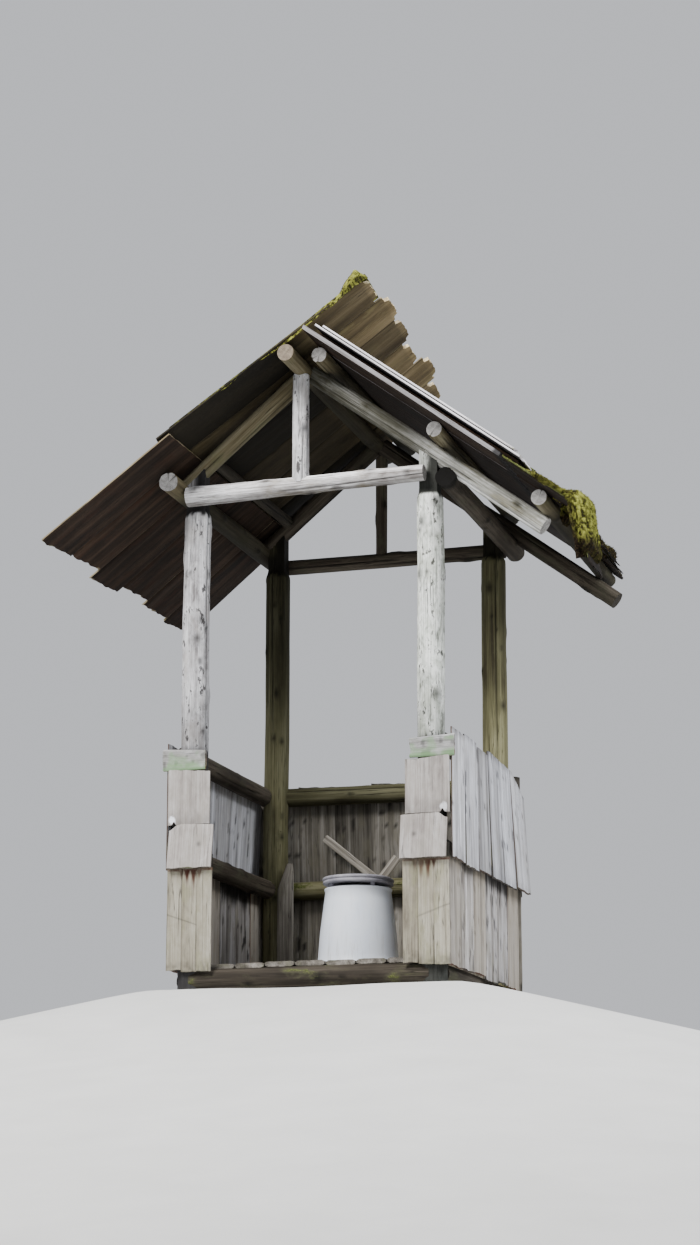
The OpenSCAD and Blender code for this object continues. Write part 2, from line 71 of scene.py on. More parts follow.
def slope(side, pitch):
    """Directions down a roof slope and square out of it; side is -1 on the left and 1 on the right."""
    level, rise = math.cos(math.radians(pitch)), math.sin(math.radians(pitch))
    return np.array([side * level, 0.0, -rise]), np.array([side * rise, 0.0, level])


DOWN_LEFT, UP_LEFT = slope(-1, PITCH_LEFT)
DOWN_RIGHT, UP_RIGHT = slope(1, PITCH_RIGHT)

# ---- Noise and small helpers

HASH_FACTORS = np.array([73856093, 19349663, 83492791])


def hashed(cells, seed):
    """Number from -1 to 1 for each whole-numbered cell, the same every time."""
    n = np.bitwise_xor.reduce(cells * HASH_FACTORS, axis=-1) ^ (seed * 40503 + 977)
    n = n & 0xFFFFFFFF
    for shift, factor in ((15, 739982445), (12, 695872825)):
        n = ((n ^ (n >> shift)) * factor) & 0xFFFFFFFF
    return (n ^ (n >> 15)) / 2147483647.5 - 1.0


def noise(points, seed):
    """Smooth noise from -1 to 1 with features one unit apart."""
    base = np.floor(points).astype(np.int64)
    part = points - base
    part = part * part * (3.0 - 2.0 * part)
    total = 0.0
    for corner in np.ndindex(2, 2, 2):
        weight = np.prod(np.where(corner, part, 1.0 - part), axis=-1)
        total = total + weight * hashed(base + corner, seed)
    return total


def fractal(points, seed, octaves=3):
    return sum(0.5 ** i * noise(points * 2.0 ** i, seed + 31 * i) for i in range(octaves))


def stack(*parts):
    return np.stack(np.broadcast_arrays(*parts), axis=-1)


def ease(low, high, x):
    """Smooth step from 0 at low to 1 at high."""
    t = np.clip((x - low) / (high - low), 0.0, 1.0)
    return t * t * (3.0 - 2.0 * t)


def unit(vectors):
    return vectors / np.linalg.norm(vectors, axis=-1, keepdims=True)


def turns(count):
    """Angles of even steps round a circle."""
    return np.arange(count) / count * 2 * math.pi


def rim(share):
    """Distance from the nearer of the ends 0 and 1."""
    return np.minimum(share, 1.0 - share)


def shares(line):
    """Length of a bent line, and the share of it at each of its points."""
    steps = np.linalg.norm(np.diff(line, axis=0), axis=1)
    return steps.sum(), np.concatenate([[0.0], np.cumsum(steps)]) / steps.sum()


def trace(u, knots, line):
    """Points of a bent line at the shares u."""
    return stack(*(np.interp(u, knots, column) for column in line.T))


def place_object(name, data):
    obj = bpy.data.objects.new(name, data)
    bpy.context.scene.collection.objects.link(obj)
    return obj


def smooth_mesh(name, points, faces, materials):
    mesh = bpy.data.meshes.new(name)
    mesh.from_pydata(points.tolist(), [], faces)
    for material in materials:
        mesh.materials.append(material)
    mesh.polygons.foreach_set("use_smooth", [True] * len(mesh.polygons))
    return mesh


def quads(sheet):
    """Faces between neighbours in a sheet of point numbers."""
    return stack(sheet[:-1, :-1], sheet[1:, :-1], sheet[1:, 1:], sheet[:-1, 1:]).reshape(-1, 4).tolist()


def ring_faces(rows, columns, closed=False):
    """Faces between rings of points, column by column; if closed, the last ring joins the first."""
    sheet = np.arange(rows * columns).reshape(rows, columns)
    return quads(np.pad(sheet, ((0, closed), (0, 1)), "wrap").T)


# ---- Meshes


class Shape:
    """Collects one piece: points, faces with a material number, and two values painted on the points. grain is
    the place in the wood (along, across, through) and tone is shade, mark, moss and tint, of which shade, mark
    and tint also carry painted light and shade."""

    def __init__(self):
        self.points, self.grain, self.tone, self.faces, self.kinds = [], [], [], [], []
        self.count = 0

    def add(self, points, faces, grain, tone, kinds=0):
        self.points.append(np.clip(points, BOX_LOW, BOX_HIGH))
        self.grain.append(grain)
        self.tone.append(tone)
        self.faces.extend([i + self.count for i in face] for face in faces)
        self.kinds.extend(np.broadcast_to(kinds, len(faces)).tolist())
        self.count += len(points)

    def build(self, name, materials, nodes=(), sharp=38):
        mesh = smooth_mesh(name, np.concatenate(self.points), self.faces, materials)
        mesh.polygons.foreach_set("material_index", self.kinds)
        for key, kind, field, values in (("grain", "FLOAT_VECTOR", "vector", self.grain),
                                         ("tone", "FLOAT_COLOR", "color", self.tone)):
            data = mesh.attributes.new(key, kind, "POINT").data
            data.foreach_set(field, np.concatenate(values).astype(np.float32).ravel())
        mesh.set_sharp_from_angle(angle=math.radians(sharp))
        mesh.update()
        obj = place_object(name, mesh)
        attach(obj, "root")
        if nodes:
            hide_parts(*nodes)


def tones(count, shade=0.5, mark=0.0, moss=0.0, tint=0.0):
    return stack(*(np.broadcast_to(value, (count,)) for value in (shade, mark, moss, tint)))


def solids(node):
    """Corner points of each solid of a CAD node, in a fixed order."""
    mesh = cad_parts[node].data
    points, weld = np.unique([np.round(v.co, 5) for v in mesh.vertices], axis=0, return_inverse=True)
    ends = weld.reshape(-1)[[tuple(edge.vertices) for edge in mesh.edges]]
    first, before = np.arange(len(points)), None
    while not np.array_equal(first, before):
        before = first.copy()
        np.minimum.at(first, ends, first[ends].min(axis=1, keepdims=True))
    found = [points[first == number] for number in np.unique(first)]
    return sorted(found, key=lambda points: tuple(np.round(points.mean(0), 3)))


@lru_cache(maxsize=None)
def slab_grid(*cells):
    """Surface of a unit block, cut into cells: places, faces, and whether each face lies inside, on an edge or
    outside (0, 1, 2)."""
    index = np.arange(np.prod(np.add(cells, 1))).reshape(np.add(cells, 1))
    faces, kinds = [], []
    for normal, sides in ((2, (0, 2)), (1, (1, 1)), (0, (1, 1))):
        sheets = index.transpose(normal, (normal + 1) % 3, (normal + 2) % 3)
        for sheet, kind in zip((sheets[0].T, sheets[-1]), sides):
            faces += quads(sheet)
            kinds += [kind] * (len(faces) - len(kinds))
    used, faces = np.unique(faces, return_inverse=True)
    return stack(*np.unravel_index(used, index.shape)) / cells, faces.reshape(-1, 4), np.array(kinds)


def board_stations(points, along, outward, count=2):
    """Corners of a board as [station from its start][side][inner/outer face]."""
    across = np.cross(outward, along)
    stations = np.zeros((count, 2, 2, 3))
    for i, four in enumerate(np.split(points[np.argsort(points @ along)], count)):
        thick = np.linalg.eigh(np.cov(four.T))[1][:, 1]
        four = four[np.argsort(four @ thick * np.sign(thick @ outward))]
        for k, pair in enumerate(np.split(four, 2)):
            stations[i, :, k] = pair[np.argsort(pair @ across)]
    return stations


def block_stations(points, *directions):
    """Corners of a block from its extents along its length, its width and its thickness."""
    a, b, c = ([(points @ way).min() * way, (points @ way).max() * way] for way in directions)
    return np.array([[[end + side + face for face in c] for side in b] for end in a])


def riven_board(shape, stations, seed, cells=(48, 18), relief=0.0032, wander=0.006, ragged=(0.004, 0.004),
                spread=0.0, worn=0.22, shade=0.5, vary=0.22, warm=0.0, breaks=None, skins=(0, 1, 0),
                paint=None):
    """Split board between stations, each given by four corners. The faces carry long hollows along the
    grain, the sides wander and the ends are ragged. spread, one value or one for each side, lets neighbours
    close up, worn rounds the edges, and breaks(v) gives the lengths broken off both ends. skins are the
    materials of the inner face, the edges and the outer face; paint(place, points) gives lift in shade,
    mark, moss and tint, and warm is added to the tint."""
    place, faces, kinds = slab_grid(*cells, 2)
    length, knots = shares(stations.mean(axis=(1, 2)))
    spans = [(np.take(stations, -1, axis) - np.take(stations, 0, axis)).mean(axis=(0, 1)) for axis in range(3)]
    width, thick = np.linalg.norm(spans[1]), np.linalg.norm(spans[2])
    u, v, w = place.T
    lu, lv = u * length, v * width
    key = seed * 9.17

    shifts = (key * X, key * Y)
    hollows = []
    for n, (broad_level, fine_level) in enumerate(((3.1, 1.7), (7.7, 5.7))):
        broad = noise(stack(lu * 1.3, lv * 22.0, broad_level) + shifts[n], seed + n)
        fine = noise(stack(lu * 5.0, lv * 90.0, fine_level) + shifts[1 - n], seed + 5 + n)
        hollows.append(relief * (0.85 + 0.5 * broad + 0.35 * fine))
    bevel = worn * thick * np.exp(-rim(v) * width / 0.004)
    rise = 0.08 * hashed(np.array([seed, 2, 9]), 4)
    w = rise + w + (1.0 - w) * (hollows[1] + bevel) / thick - w * (hollows[0] + bevel) / thick

    sides = [wander * (0.5 + 0.5 * fractal(stack(lu * 3.0, key, 11.0 * s), seed + s)) - reach
             for s, reach in zip((2, 3), np.broadcast_to(spread, 2))]
    v = v + (1.0 - v) * sides[0] / width - v * sides[1] / width
    ends = [torn * (0.5 + 0.5 * fractal(stack(lv * 26.0, key, 5.0 * s + w * 2.0), seed + s))
            for s, torn in zip((7, 8), ragged)]
    if breaks:
        ends = [end + lost for end, lost in zip(ends, breaks(v))]
    u = np.clip(u + (1.0 - u) * ends[0] / length - u * ends[1] / length, 0.0, 1.0)

    points = np.zeros((len(u), 3))
    for a, b in np.ndindex(2, 2):
        weight = (v if a else 1.0 - v) * (w if b else 1.0 - w)
        points += trace(u, knots, stations[:, a, b]) * weight[:, None]
    if np.cross(spans[0], spans[1]) @ spans[2] < 0:
        faces = faces[:, ::-1]
    lift, mark, moss, tint = paint(stack(u, v, w), points) if paint else (0.0, 0.0, 0.0, 0.0)
    shade = shade + vary * hashed(np.array([seed, 3, 5]), 11) + lift
    shape.add(points, faces.tolist(), stack(lu + key, lv + key * 0.37, w * thick),
              tones(len(u), shade, mark, moss, tint + warm), np.array(skins)[kinds])


def log_line(points, along, across, keep=0):
    """Ends and radius of the centre line of a log's solid. Its section is whole square to along and across;
    along across it may be cut flat, and then keep is the side on which it stays round."""
    up = np.cross(along, across)
    a, c, u = points @ along, points @ across, points @ up
    radius = np.ptp(u) / 2
    middle = (c.max() + c.min()) / 2 if keep == 0 else (c.max() - radius if keep > 0 else c.min() + radius)
    base = across * middle + up * (u.max() + u.min()) / 2
    return base + along * a.min(), base + along * a.max(), radius


def log(shape, start, end, radii, seed, knots=5, checks=3, wobble=0.004, segments=48, shade=(0.5, 0.5),
        bleach=0.3, form=None, paint=None):
    """Peeled log: lumps, worked flats, knots and drying checks. shade runs from its start to its end, bleach
    makes the back paler than the belly, partly sun bleaching and partly painted light from above, form(points)
    may reshape it, and paint(points) gives lift in shade, mark, moss and tint."""
    length = np.linalg.norm(end - start)
    axis = (end - start) / length
    side = unit(np.cross(axis, Y if abs(axis[1]) < 0.7 else Z))
    third = np.cross(axis, side)
    rings = max(6, int(length / 0.018))
    caps = (0.0, 0.3, 0.62, 0.86, 0.97)
    share = np.concatenate([np.zeros(len(caps)), np.linspace(0, 1, rings + 1), np.ones(len(caps))])
    inward = np.concatenate([caps, np.ones(rings + 1), caps[::-1]])[:, None]
    s, a = np.meshgrid(share, turns(segments), indexing="ij")
    along = s * length
    mean = radii[0] + (radii[1] - radii[0]) * s
    ca, sa = np.cos(a), np.sin(a)
    key = seed * 5.31

    def picks(number, first, salt):
        return hashed(np.array([[seed, number, first + k] for k in range(3)]), salt)

    def around(centre):
        """Distance round the log from an angle."""
        return ((a - centre + math.pi) % (2 * math.pi) - math.pi) * mean

    radius = mean * (1.0 + 0.035 * fractal(stack(along * 2.2 + key, ca * 1.3, sa * 1.3), seed))
    radius = radius - 0.0016 * np.abs(noise(stack(along * 3.0, ca * 7.0 + key, sa * 7.0), seed + 1))
    mark = np.zeros_like(radius)
    for i in range(checks):
        pick = picks(i, 1, 5)
        gap = around(math.pi * (pick[0] + 1) + 0.35 * noise(stack(along * 1.4, 3.0 * i, key), seed + 20 + i))
        middle, reach = 0.5 + 0.45 * pick[1], 0.28 + 0.22 * abs(pick[2])
        check = ease(0.0, 0.25, 1.0 - np.abs(s - middle) / reach) * np.exp(-(gap / 0.0042) ** 2)
        radius = radius - (0.003 + 0.07 * mean) * check
        mark = np.maximum(mark, 0.8 * check)
    for i in range(knots):
        pick = picks(i, 7, 6)
        size = 0.017 + 0.008 * pick[2]
        away = (along - (0.5 + 0.47 * pick[0]) * length) / (1.6 * size)
        near = away ** 2 + (around(math.pi * (pick[1] + 1)) / size) ** 2
        radius = radius + 0.4 * size * np.exp(-near) - 0.22 * size * np.exp(-near * 5.0)
        mark = np.maximum(mark, 0.9 * np.exp(-near * 1.5))
    bend = [wobble * fractal(stack(along * 0.9 + key, 0.5, 7.0 * n), seed + 40, 2) for n in (1, 2)]
    radius = radius * inward
    dome = 0.05 * mean * (1.0 - inward ** 2) * np.where(s < 0.5, 1.0, -1.0)
    points = (start + (along + dome)[..., None] * axis + (radius * ca + bend[0])[..., None] * side
              + (radius * sa + bend[1])[..., None] * third).reshape(-1, 3)
    if form:
        points = form(points)
    kinds = np.tile(np.minimum(inward[:-1], inward[1:])[:, 0] < 1.0, segments)
    lift, dark, moss, tint = paint(points) if paint else (0.0, 0.0, 0.0, 0.0)
    back = side[2] * ca + third[2] * sa
    # the back paler, the belly darker: partly sun bleaching, partly painted light from above
    bright = shade[0] + (shade[1] - shade[0]) * s + bleach * back + 0.12 * hashed(np.array([seed, 1, 1]), 3)
    grain = stack(along + key, radius * ca, radius * sa).reshape(-1, 3)
    tone = tones(len(points), bright.ravel() + lift, np.maximum(mark.ravel(), dark), moss, tint)
    shape.add(points, ring_faces(len(share), segments), grain, tone, kinds)


def lathe(shape, profile, centre, segments=96):
    """Turned body from the (radius, height) points of a closed profile."""
    radius, height = np.array(profile).T[..., None]
    angle = turns(segments)
    points = (np.array(centre) + stack(radius * np.cos(angle), radius * np.sin(angle), height)).reshape(-1, 3)
    shape.add(points, ring_faces(len(profile), segments, True), points.copy(), tones(len(points)))


# ---- Materials


class Value:
    """Output of a material's node; its sums, differences and products are nodes too."""

    def __init__(self, graph, socket):
        self.graph, self.socket = graph, socket

    def __add__(self, other):
        return self.graph.math("ADD", self, other)

    def __sub__(self, other):
        return self.graph.math("SUBTRACT", self, other)

    def __rsub__(self, other):
        return self.graph.math("SUBTRACT", other, self)

    def __mul__(self, other):
        return self.graph.math("MULTIPLY", self, other)


class Graph:
    """Wires a material's nodes; grain is the place painted on the points."""

    def __init__(self, name, specular=0.5):
        self.material = bpy.data.materials.new(name)
        self.material.use_nodes = True
        self.tree = self.material.node_tree
        self.shader = self.tree.nodes["Principled BSDF"]
        self.link(specular, self.shader.inputs["Specular IOR Level"])
        self.grain = self.out("Vector", "Attribute", attribute_name="grain")

    def link(self, value, socket):
        if isinstance(value, Value):
            self.tree.links.new(value.socket, socket)
        else:
            colour = isinstance(value, tuple) and socket.type == "RGBA"
            socket.default_value = (*value, 1.0) if colour else value

    def node(self, kind, inputs=(), **settings):
        """New node with its settings, and with its inputs linked or set by number or by name."""
        node = self.tree.nodes.new("ShaderNode" + kind)
        for key, value in settings.items():
            setattr(node, key, value)
        for key, value in inputs.items() if isinstance(inputs, dict) else enumerate(inputs):
            self.link(value, node.inputs[key])
        return node

    def out(self, output, *kind_and_inputs, **settings):
        """One output of a new node."""
        return Value(self, self.node(*kind_and_inputs, **settings).outputs[output])

    def painted(self):
        """The tone painted on the points: shade, mark, moss and tint."""
        tone = self.node("Attribute", attribute_name="tone").outputs
        parts = self.node("SeparateColor", (Value(self, tone["Color"]),)).outputs
        return [Value(self, socket) for socket in (*parts, tone["Alpha"])]

    def math(self, operation, a, b=0.0):
        return self.out("Value", "Math", (a, b), operation=operation)

    def scaled(self, place, scale):
        return self.out("Vector", "VectorMath", (place, scale), operation="MULTIPLY")

    def noise(self, place, scale, detail=3.0, rough=0.55, distortion=0.0):
        return self.out("Fac", "TexNoise", {"Vector": self.scaled(place, scale), "Scale": 1.0, "Detail": detail,
                                            "Roughness": rough, "Distortion": distortion})

    def ramp(self, fac, places, colours):
        node = self.node("ValToRGB", (fac,))
        elements = node.color_ramp.elements
        for _ in colours[2:]:
            elements.new(0.5)
        for element, place, colour in zip(elements, places, colours):
            element.position, element.color = place, (*colour, 1.0)
        return Value(self, node.outputs["Color"])

    def step(self, fac, low, high):
        return self.out("Result", "MapRange", {"Value": fac, "From Min": low, "From Max": high},
                        interpolation_type="SMOOTHSTEP")

    def mix(self, fac, a, b, blend="MIX"):
        return self.out("Result", "Mix", {"Factor": fac, "A": a, "B": b}, data_type="RGBA", blend_type=blend)

    def grey(self, value):
        return self.out("Color", "CombineColor", (value,) * 3)

    def finish(self, colour, rough, height, distance=0.003, strength=0.6):
        normal = self.out("Normal", "Bump", {"Strength": strength, "Distance": distance, "Height": height})
        for key, value in (("Base Color", colour), ("Roughness", rough), ("Normal", normal)):
            self.link(value, self.shader.inputs[key])
        return self.material


# Dark, middle and pale tones of moss: its cushions, what died, and the film that grows on wood
CUSHION = ((0.026, 0.022, 0.006), (0.130, 0.132, 0.022), (0.34, 0.35, 0.070))
DEAD = ((0.005, 0.003, 0.001), (0.024, 0.014, 0.006), (0.13, 0.085, 0.04))
FILM = ((0.030, 0.034, 0.012), (0.095, 0.110, 0.030), (0.24, 0.26, 0.085))


def scaled_colour(colour, share):
    return tuple(min(1.0, c * share) for c in colour)


def wood(name, dark, mid, pale, stain=(0.18, 0.20, 0.12), stain_share=0.5, streaks=26.0, cracks=0.8,
         tint=(0.16, 0.055, 0.02), specks=0.0, mottle=0.0, soft=0.10):
    """Weathered wood along the painted grain: fibres, long streaks, blotches of stain, fine cracks, and the
    painted marks, moss and tint, where the painted shade, marks and tint also carry painted light and shade.
    mottle turns streaks into short patches; soft is half the ramp's width."""
    g = Graph(name, 0.18)
    grain = g.grain
    shade, mark, moss, tinted = g.painted()
    fibre = g.noise(grain, (3.0, 190.0, 190.0), 4.0, 0.6)
    streak = g.noise(grain, (0.9, streaks, streaks), 5.0, 0.6, 0.3)
    patch = g.noise(grain, (2.4, 6.0, 6.0), 6.0, 0.6)
    blotch = g.noise(grain, (5.0, 11.0, 11.0), 5.0, 0.65)
    value = streak * (0.48 * (1.0 - mottle)) + patch * 0.30
    if mottle:
        value = value + g.noise(grain, (15.0, 30.0, 30.0), 4.0, 0.6, 0.6) * (0.48 * mottle)
    colour = g.ramp(value + fibre * 0.22, (0.49 - soft, 0.49, 0.49 + soft), (dark, mid, pale))
    colour = g.mix(g.step(blotch, 0.50, 0.66) * stain_share, colour, stain)
    lines = g.noise(grain, (1.6, 62.0, 62.0), 3.0, 0.5, 0.2)
    crack = (1.0 - g.step(g.math("ABSOLUTE", lines - 0.5), 0.0, 0.022)) * g.step(patch, 0.42, 0.62)
    colour = g.mix(crack * cracks, colour, scaled_colour(dark, 0.25))
    if specks:
        spots = g.step(g.noise(grain, (15.0, 30.0, 30.0), 5.0, 0.68), 0.575, 0.64)
        colour = g.mix(spots * specks, colour, scaled_colour(dark, 0.4))
    # the painted shade channel scales the colour: random tone, painted light and painted shade
    bright = g.math("MAXIMUM", shade * 0.7 + 0.65, 0.08)
    colour = g.mix(1.0, colour, g.grey(bright), "MULTIPLY")
    # marks darken to the dark tone: knots, checks and joints, and painted shade
    colour = g.mix(mark * 0.95, colour, scaled_colour(dark, 0.12))
    colour = g.mix(tinted * (g.step(streak, 0.4, 0.6) * 0.5 + 0.5), colour, tint)
    cover = g.step(moss + (blotch - 0.5) * 1.6, 0.45, 0.62) * g.step(moss, 0.0, 0.08)
    tuft = g.noise(grain, (160.0,) * 3, 4.0, 0.7)
    colour = g.mix(cover, colour, g.ramp(tuft, (0.34, 0.52, 0.70), FILM))
    height = fibre * 0.45 + streak * 0.5 - crack * 0.8 + cover * tuft * 2.5
    return g.finish(colour, fibre * 0.3 + 0.66, height, 0.004)


def end_grain(name, pale, dark):
    """Sawn or broken log end: yearly rings, blotches and the dark checks painted on it."""
    g = Graph(name, 0.18)
    centre = g.out("Value", "VectorMath", (g.scaled(g.grain, (0.0, 1.0, 1.0)),), operation="LENGTH")
    rings = centre * 2100.0 + g.noise(g.grain, (0.0, 30.0, 30.0)) * 9.0
    blotch = g.noise(g.grain, (0.0, 55.0, 55.0), 5.0, 0.65)
    value = (g.math("SINE", rings) * 0.5 + 0.5) * 0.35 + blotch * 0.65
    colour = g.ramp(value, (0.30, 0.50, 0.7), (dark, pale, scaled_colour(pale, 1.4)))
    colour = g.mix(g.painted()[1], colour, scaled_colour(dark, 0.12))
    return g.finish(colour, blotch * 0.25 + 0.7, value, 0.002, 0.5)


def moss_material():
    """Moss: dark between its cushions, partly as painted shade, yellow-green on their backs, with brown dead
    patches.
    """
    g = Graph("moss", 0.15)
    lift, dead = g.painted()[:2]
    tuft = g.noise(g.grain, (190.0,) * 3, 4.0, 0.7)
    lump = g.noise(g.grain, (75.0, 115.0, 60.0), 4.0, 0.7)
    # the painted lift adds painted shade where the moss lies low
    colour = g.ramp(tuft * 0.30 + lump * 0.50 + lift * 0.20, (0.42, 0.49, 0.58), CUSHION)
    patches = g.step(g.noise(g.grain, (16.0,) * 3), 0.58, 0.70)
    brown = g.math("MINIMUM", patches * 0.5 + dead, 1.0)
    colour = g.mix(brown, colour, g.ramp(lump, (0.46, 0.56, 0.70), DEAD))
    return g.finish(colour, lump * 0.1 + 0.88, tuft * 0.5 + lump, 0.012, 1.0)


def shell_material():
    """Moulded shell: cool white with faint cloudy dirt that thickens towards the floor."""
    g = Graph("white_shell")
    cloud = g.noise(g.grain, (9.0, 9.0, 5.0), 5.0, 0.6)
    run = g.noise(g.grain, (55.0, 55.0, 2.5), 4.0, 0.6)
    colour = g.ramp(cloud, (0.3, 0.6, 0.8), ((0.80, 0.87, 0.98), (0.88, 0.93, 1.0), (0.93, 0.96, 1.0)))
    low = 1.0 - g.step(g.out("Z", "SeparateXYZ", (g.grain,)), 0.13, 0.32)
    dirt = g.step(run, 0.50, 0.75) * (low * 0.45 + 0.10)
    colour = g.mix(dirt, colour, (0.25, 0.24, 0.19))
    return g.finish(colour, cloud * 0.3 + 0.2, cloud, 0.001, 0.25)


def seat_material():
    """Grey plastic dulled by weather, with olive dust."""
    g = Graph("grey_seat")
    cloud = g.noise(g.grain, (14.0,) * 3, 5.0, 0.65)
    dust = g.noise(g.grain, (120.0,) * 3, 3.0, 0.6)
    colour = g.ramp(cloud, (0.35, 0.55, 0.72), ((0.20, 0.20, 0.235), (0.32, 0.31, 0.355), (0.43, 0.43, 0.455)))
    colour = g.mix(g.step(dust, 0.55, 0.7) * 0.5, colour, (0.12, 0.13, 0.08))
    return g.finish(colour, cloud * 0.35 + 0.4, dust, 0.001, 0.4)


def stage_material():
    g = Graph("stage_floor")
    speck = g.noise(g.out("Object", "TexCoord"), (3.0,) * 3, 5.0)
    colour = g.ramp(speck, (0.3, 0.7), ((0.66, 0.66, 0.64), (0.72, 0.72, 0.70)))
    return g.finish(colour, 0.9, speck, 0.002, 0.1)


SILVER_LOG = wood("silver_log", (0.16, 0.165, 0.14), (0.60, 0.63, 0.58), (0.90, 0.92, 0.88),
                  stain=(0.40, 0.43, 0.33), stain_share=0.40, streaks=20.0, specks=0.95, mottle=0.85,
                  soft=0.075)
LILAC_LOG = wood("lilac_log", (0.14, 0.13, 0.13), (0.48, 0.475, 0.485), (0.80, 0.80, 0.82),
                 stain=(0.36, 0.33, 0.31), stain_share=0.45, streaks=24.0, specks=0.95, mottle=0.5)
TIE_LOG = wood("tie_log", (0.07, 0.055, 0.045), (0.42, 0.405, 0.40), (0.82, 0.81, 0.82),
               stain=(0.22, 0.19, 0.13), stain_share=0.6, streaks=20.0, mottle=0.25, soft=0.080)
# Its tint is the dark olive painted as shade near the ridge.
RAFTER_LOG = wood("rafter_log", (0.05, 0.045, 0.030), (0.26, 0.26, 0.235), (0.62, 0.62, 0.61),
                  stain=(0.15, 0.135, 0.08), tint=(0.040, 0.037, 0.019), streaks=18.0, mottle=0.2, soft=0.085)
SHADED_LOG = wood("shaded_log", (0.018, 0.013, 0.009), (0.050, 0.040, 0.029), (0.11, 0.092, 0.07),
                  stain=(0.07, 0.07, 0.045))
REAR_LOG = wood("rear_log", (0.040, 0.034, 0.018), (0.115, 0.108, 0.055), (0.20, 0.190, 0.11),
                stain=(0.12, 0.12, 0.06), streaks=22.0)
OLIVE_LOG = wood("olive_log", (0.06, 0.048, 0.026), (0.15, 0.125, 0.072), (0.26, 0.235, 0.155),
                 stain=(0.15, 0.15, 0.075))
# Painted shade: sills and joist kept dark, as they lie in shadow under the floor.
SHADED_SILL_LOG = wood("sill_log", (0.014, 0.011, 0.008), (0.038, 0.031, 0.023), (0.085, 0.072, 0.056),
                stain=(0.08, 0.08, 0.045))
LOG_END = end_grain("log_end", (0.40, 0.39, 0.38), (0.12, 0.11, 0.10))
BROWN_END = end_grain("log_end_brown", (0.20, 0.165, 0.125), (0.05, 0.038, 0.028))
# Painted shade: end grain kept dark for log ends that lie in shadow.
SHADED_END = end_grain("log_end_shaded", (0.035, 0.030, 0.024), (0.012, 0.010, 0.008))
ROOF_UNDER = wood("roof_under", (0.028, 0.019, 0.009), (0.088, 0.066, 0.032), (0.17, 0.132, 0.072),
                  stain=(0.12, 0.10, 0.045), streaks=9.0, soft=0.12)
ROOF_TOP = wood("roof_top", (0.055, 0.050, 0.042), (0.175, 0.165, 0.145), (0.36, 0.35, 0.33),
                stain=(0.13, 0.13, 0.07), streaks=24.0)
# Painted shade for board undersides and the layer set back on the right slope, and the dark of the rotten eave
# boards.
ROOF_SHADE_AND_ROT = wood("roof_shade_and_rot", (0.012, 0.006, 0.003), (0.038, 0.022, 0.013), (0.090, 0.056, 0.036),
                 stain=(0.070, 0.030, 0.016), streaks=18.0)
ROOF_PALE = wood("roof_pale", (0.11, 0.10, 0.10), (0.33, 0.31, 0.31), (0.58, 0.56, 0.57),
                 stain=(0.30, 0.27, 0.24), streaks=30.0)
ROOF_EDGE = wood("roof_edge", (0.30, 0.28, 0.28), (0.66, 0.64, 0.66), (0.86, 0.84, 0.87),
                 stain=(0.44, 0.40, 0.38), stain_share=0.3, streaks=60.0)
VERGE_EDGE = wood("verge_edge", (0.09, 0.07, 0.035), (0.27, 0.215, 0.13), (0.46, 0.40, 0.27),
                  stain=(0.22, 0.22, 0.08), streaks=60.0)
WALL_BOARD = wood("wall_board", (0.142, 0.136, 0.144), (0.400, 0.400, 0.422), (0.67, 0.68, 0.73),
                  stain=(0.35, 0.34, 0.33), tint=(0.38, 0.36, 0.33), streaks=22.0, cracks=0.6)
WALL_LOW = wood("wall_low", (0.075, 0.062, 0.056), (0.285, 0.268, 0.252), (0.53, 0.51, 0.515),
                stain=(0.27, 0.25, 0.20), tint=(0.37, 0.325, 0.26), streaks=22.0, soft=0.09)
WALL_EDGE = wood("wall_edge", (0.04, 0.033, 0.028), (0.12, 0.105, 0.095), (0.24, 0.22, 0.20), streaks=60.0)
PANEL_BOARD = wood("panel_board", (0.13, 0.112, 0.085), (0.285, 0.260, 0.200), (0.42, 0.395, 0.325),
                   stain=(0.25, 0.24, 0.15), stain_share=0.6, tint=(0.055, 0.013, 0.007), streaks=16.0,
                   mottle=0.3)
PANEL_PALE = wood("panel_pale", (0.17, 0.150, 0.140), (0.325, 0.300, 0.280), (0.45, 0.43, 0.415),
                  stain=(0.27, 0.25, 0.22), tint=(0.86, 0.90, 0.97), streaks=16.0, mottle=0.3)
GREEN_BOARD = wood("green_board", (0.15, 0.145, 0.135), (0.31, 0.305, 0.30), (0.47, 0.47, 0.475),
                   stain=(0.27, 0.29, 0.24), tint=(0.16, 0.29, 0.13), streaks=16.0, mottle=0.6)
# Painted shade: the rear wall's boards are kept dark, as seen in the shade inside.
SHADED_BOARD = wood("dark_board", (0.035, 0.030, 0.024), (0.110, 0.101, 0.084), (0.21, 0.197, 0.175),
                  stain=(0.12, 0.11, 0.08), streaks=30.0)
SLAT_BOARD = wood("slat_board", (0.07, 0.060, 0.050), (0.21, 0.190, 0.160), (0.38, 0.355, 0.31),
                  stain=(0.17, 0.16, 0.11), streaks=40.0)
FLOOR_BOARD = wood("floor_board", (0.06, 0.055, 0.045), (0.16, 0.145, 0.125), (0.29, 0.27, 0.24),
                   stain=(0.14, 0.14, 0.09))
MOSS = moss_material()
SHELL = shell_material()
SEAT = seat_material()

# ---- Log frame

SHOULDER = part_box("wall_plate_right")[0].z


def rafter_height(x):
    """Height of the rafters' centre lines over a place across the front."""
    node, down = ("rafter_front_left", DOWN_LEFT) if x < 0 else ("rafter_front_right", DOWN_RIGHT)
    start, _, _ = log_line(solids(node)[0], down, Y)
    return start[2] + (x - start[0]) * down[2] / down[0]


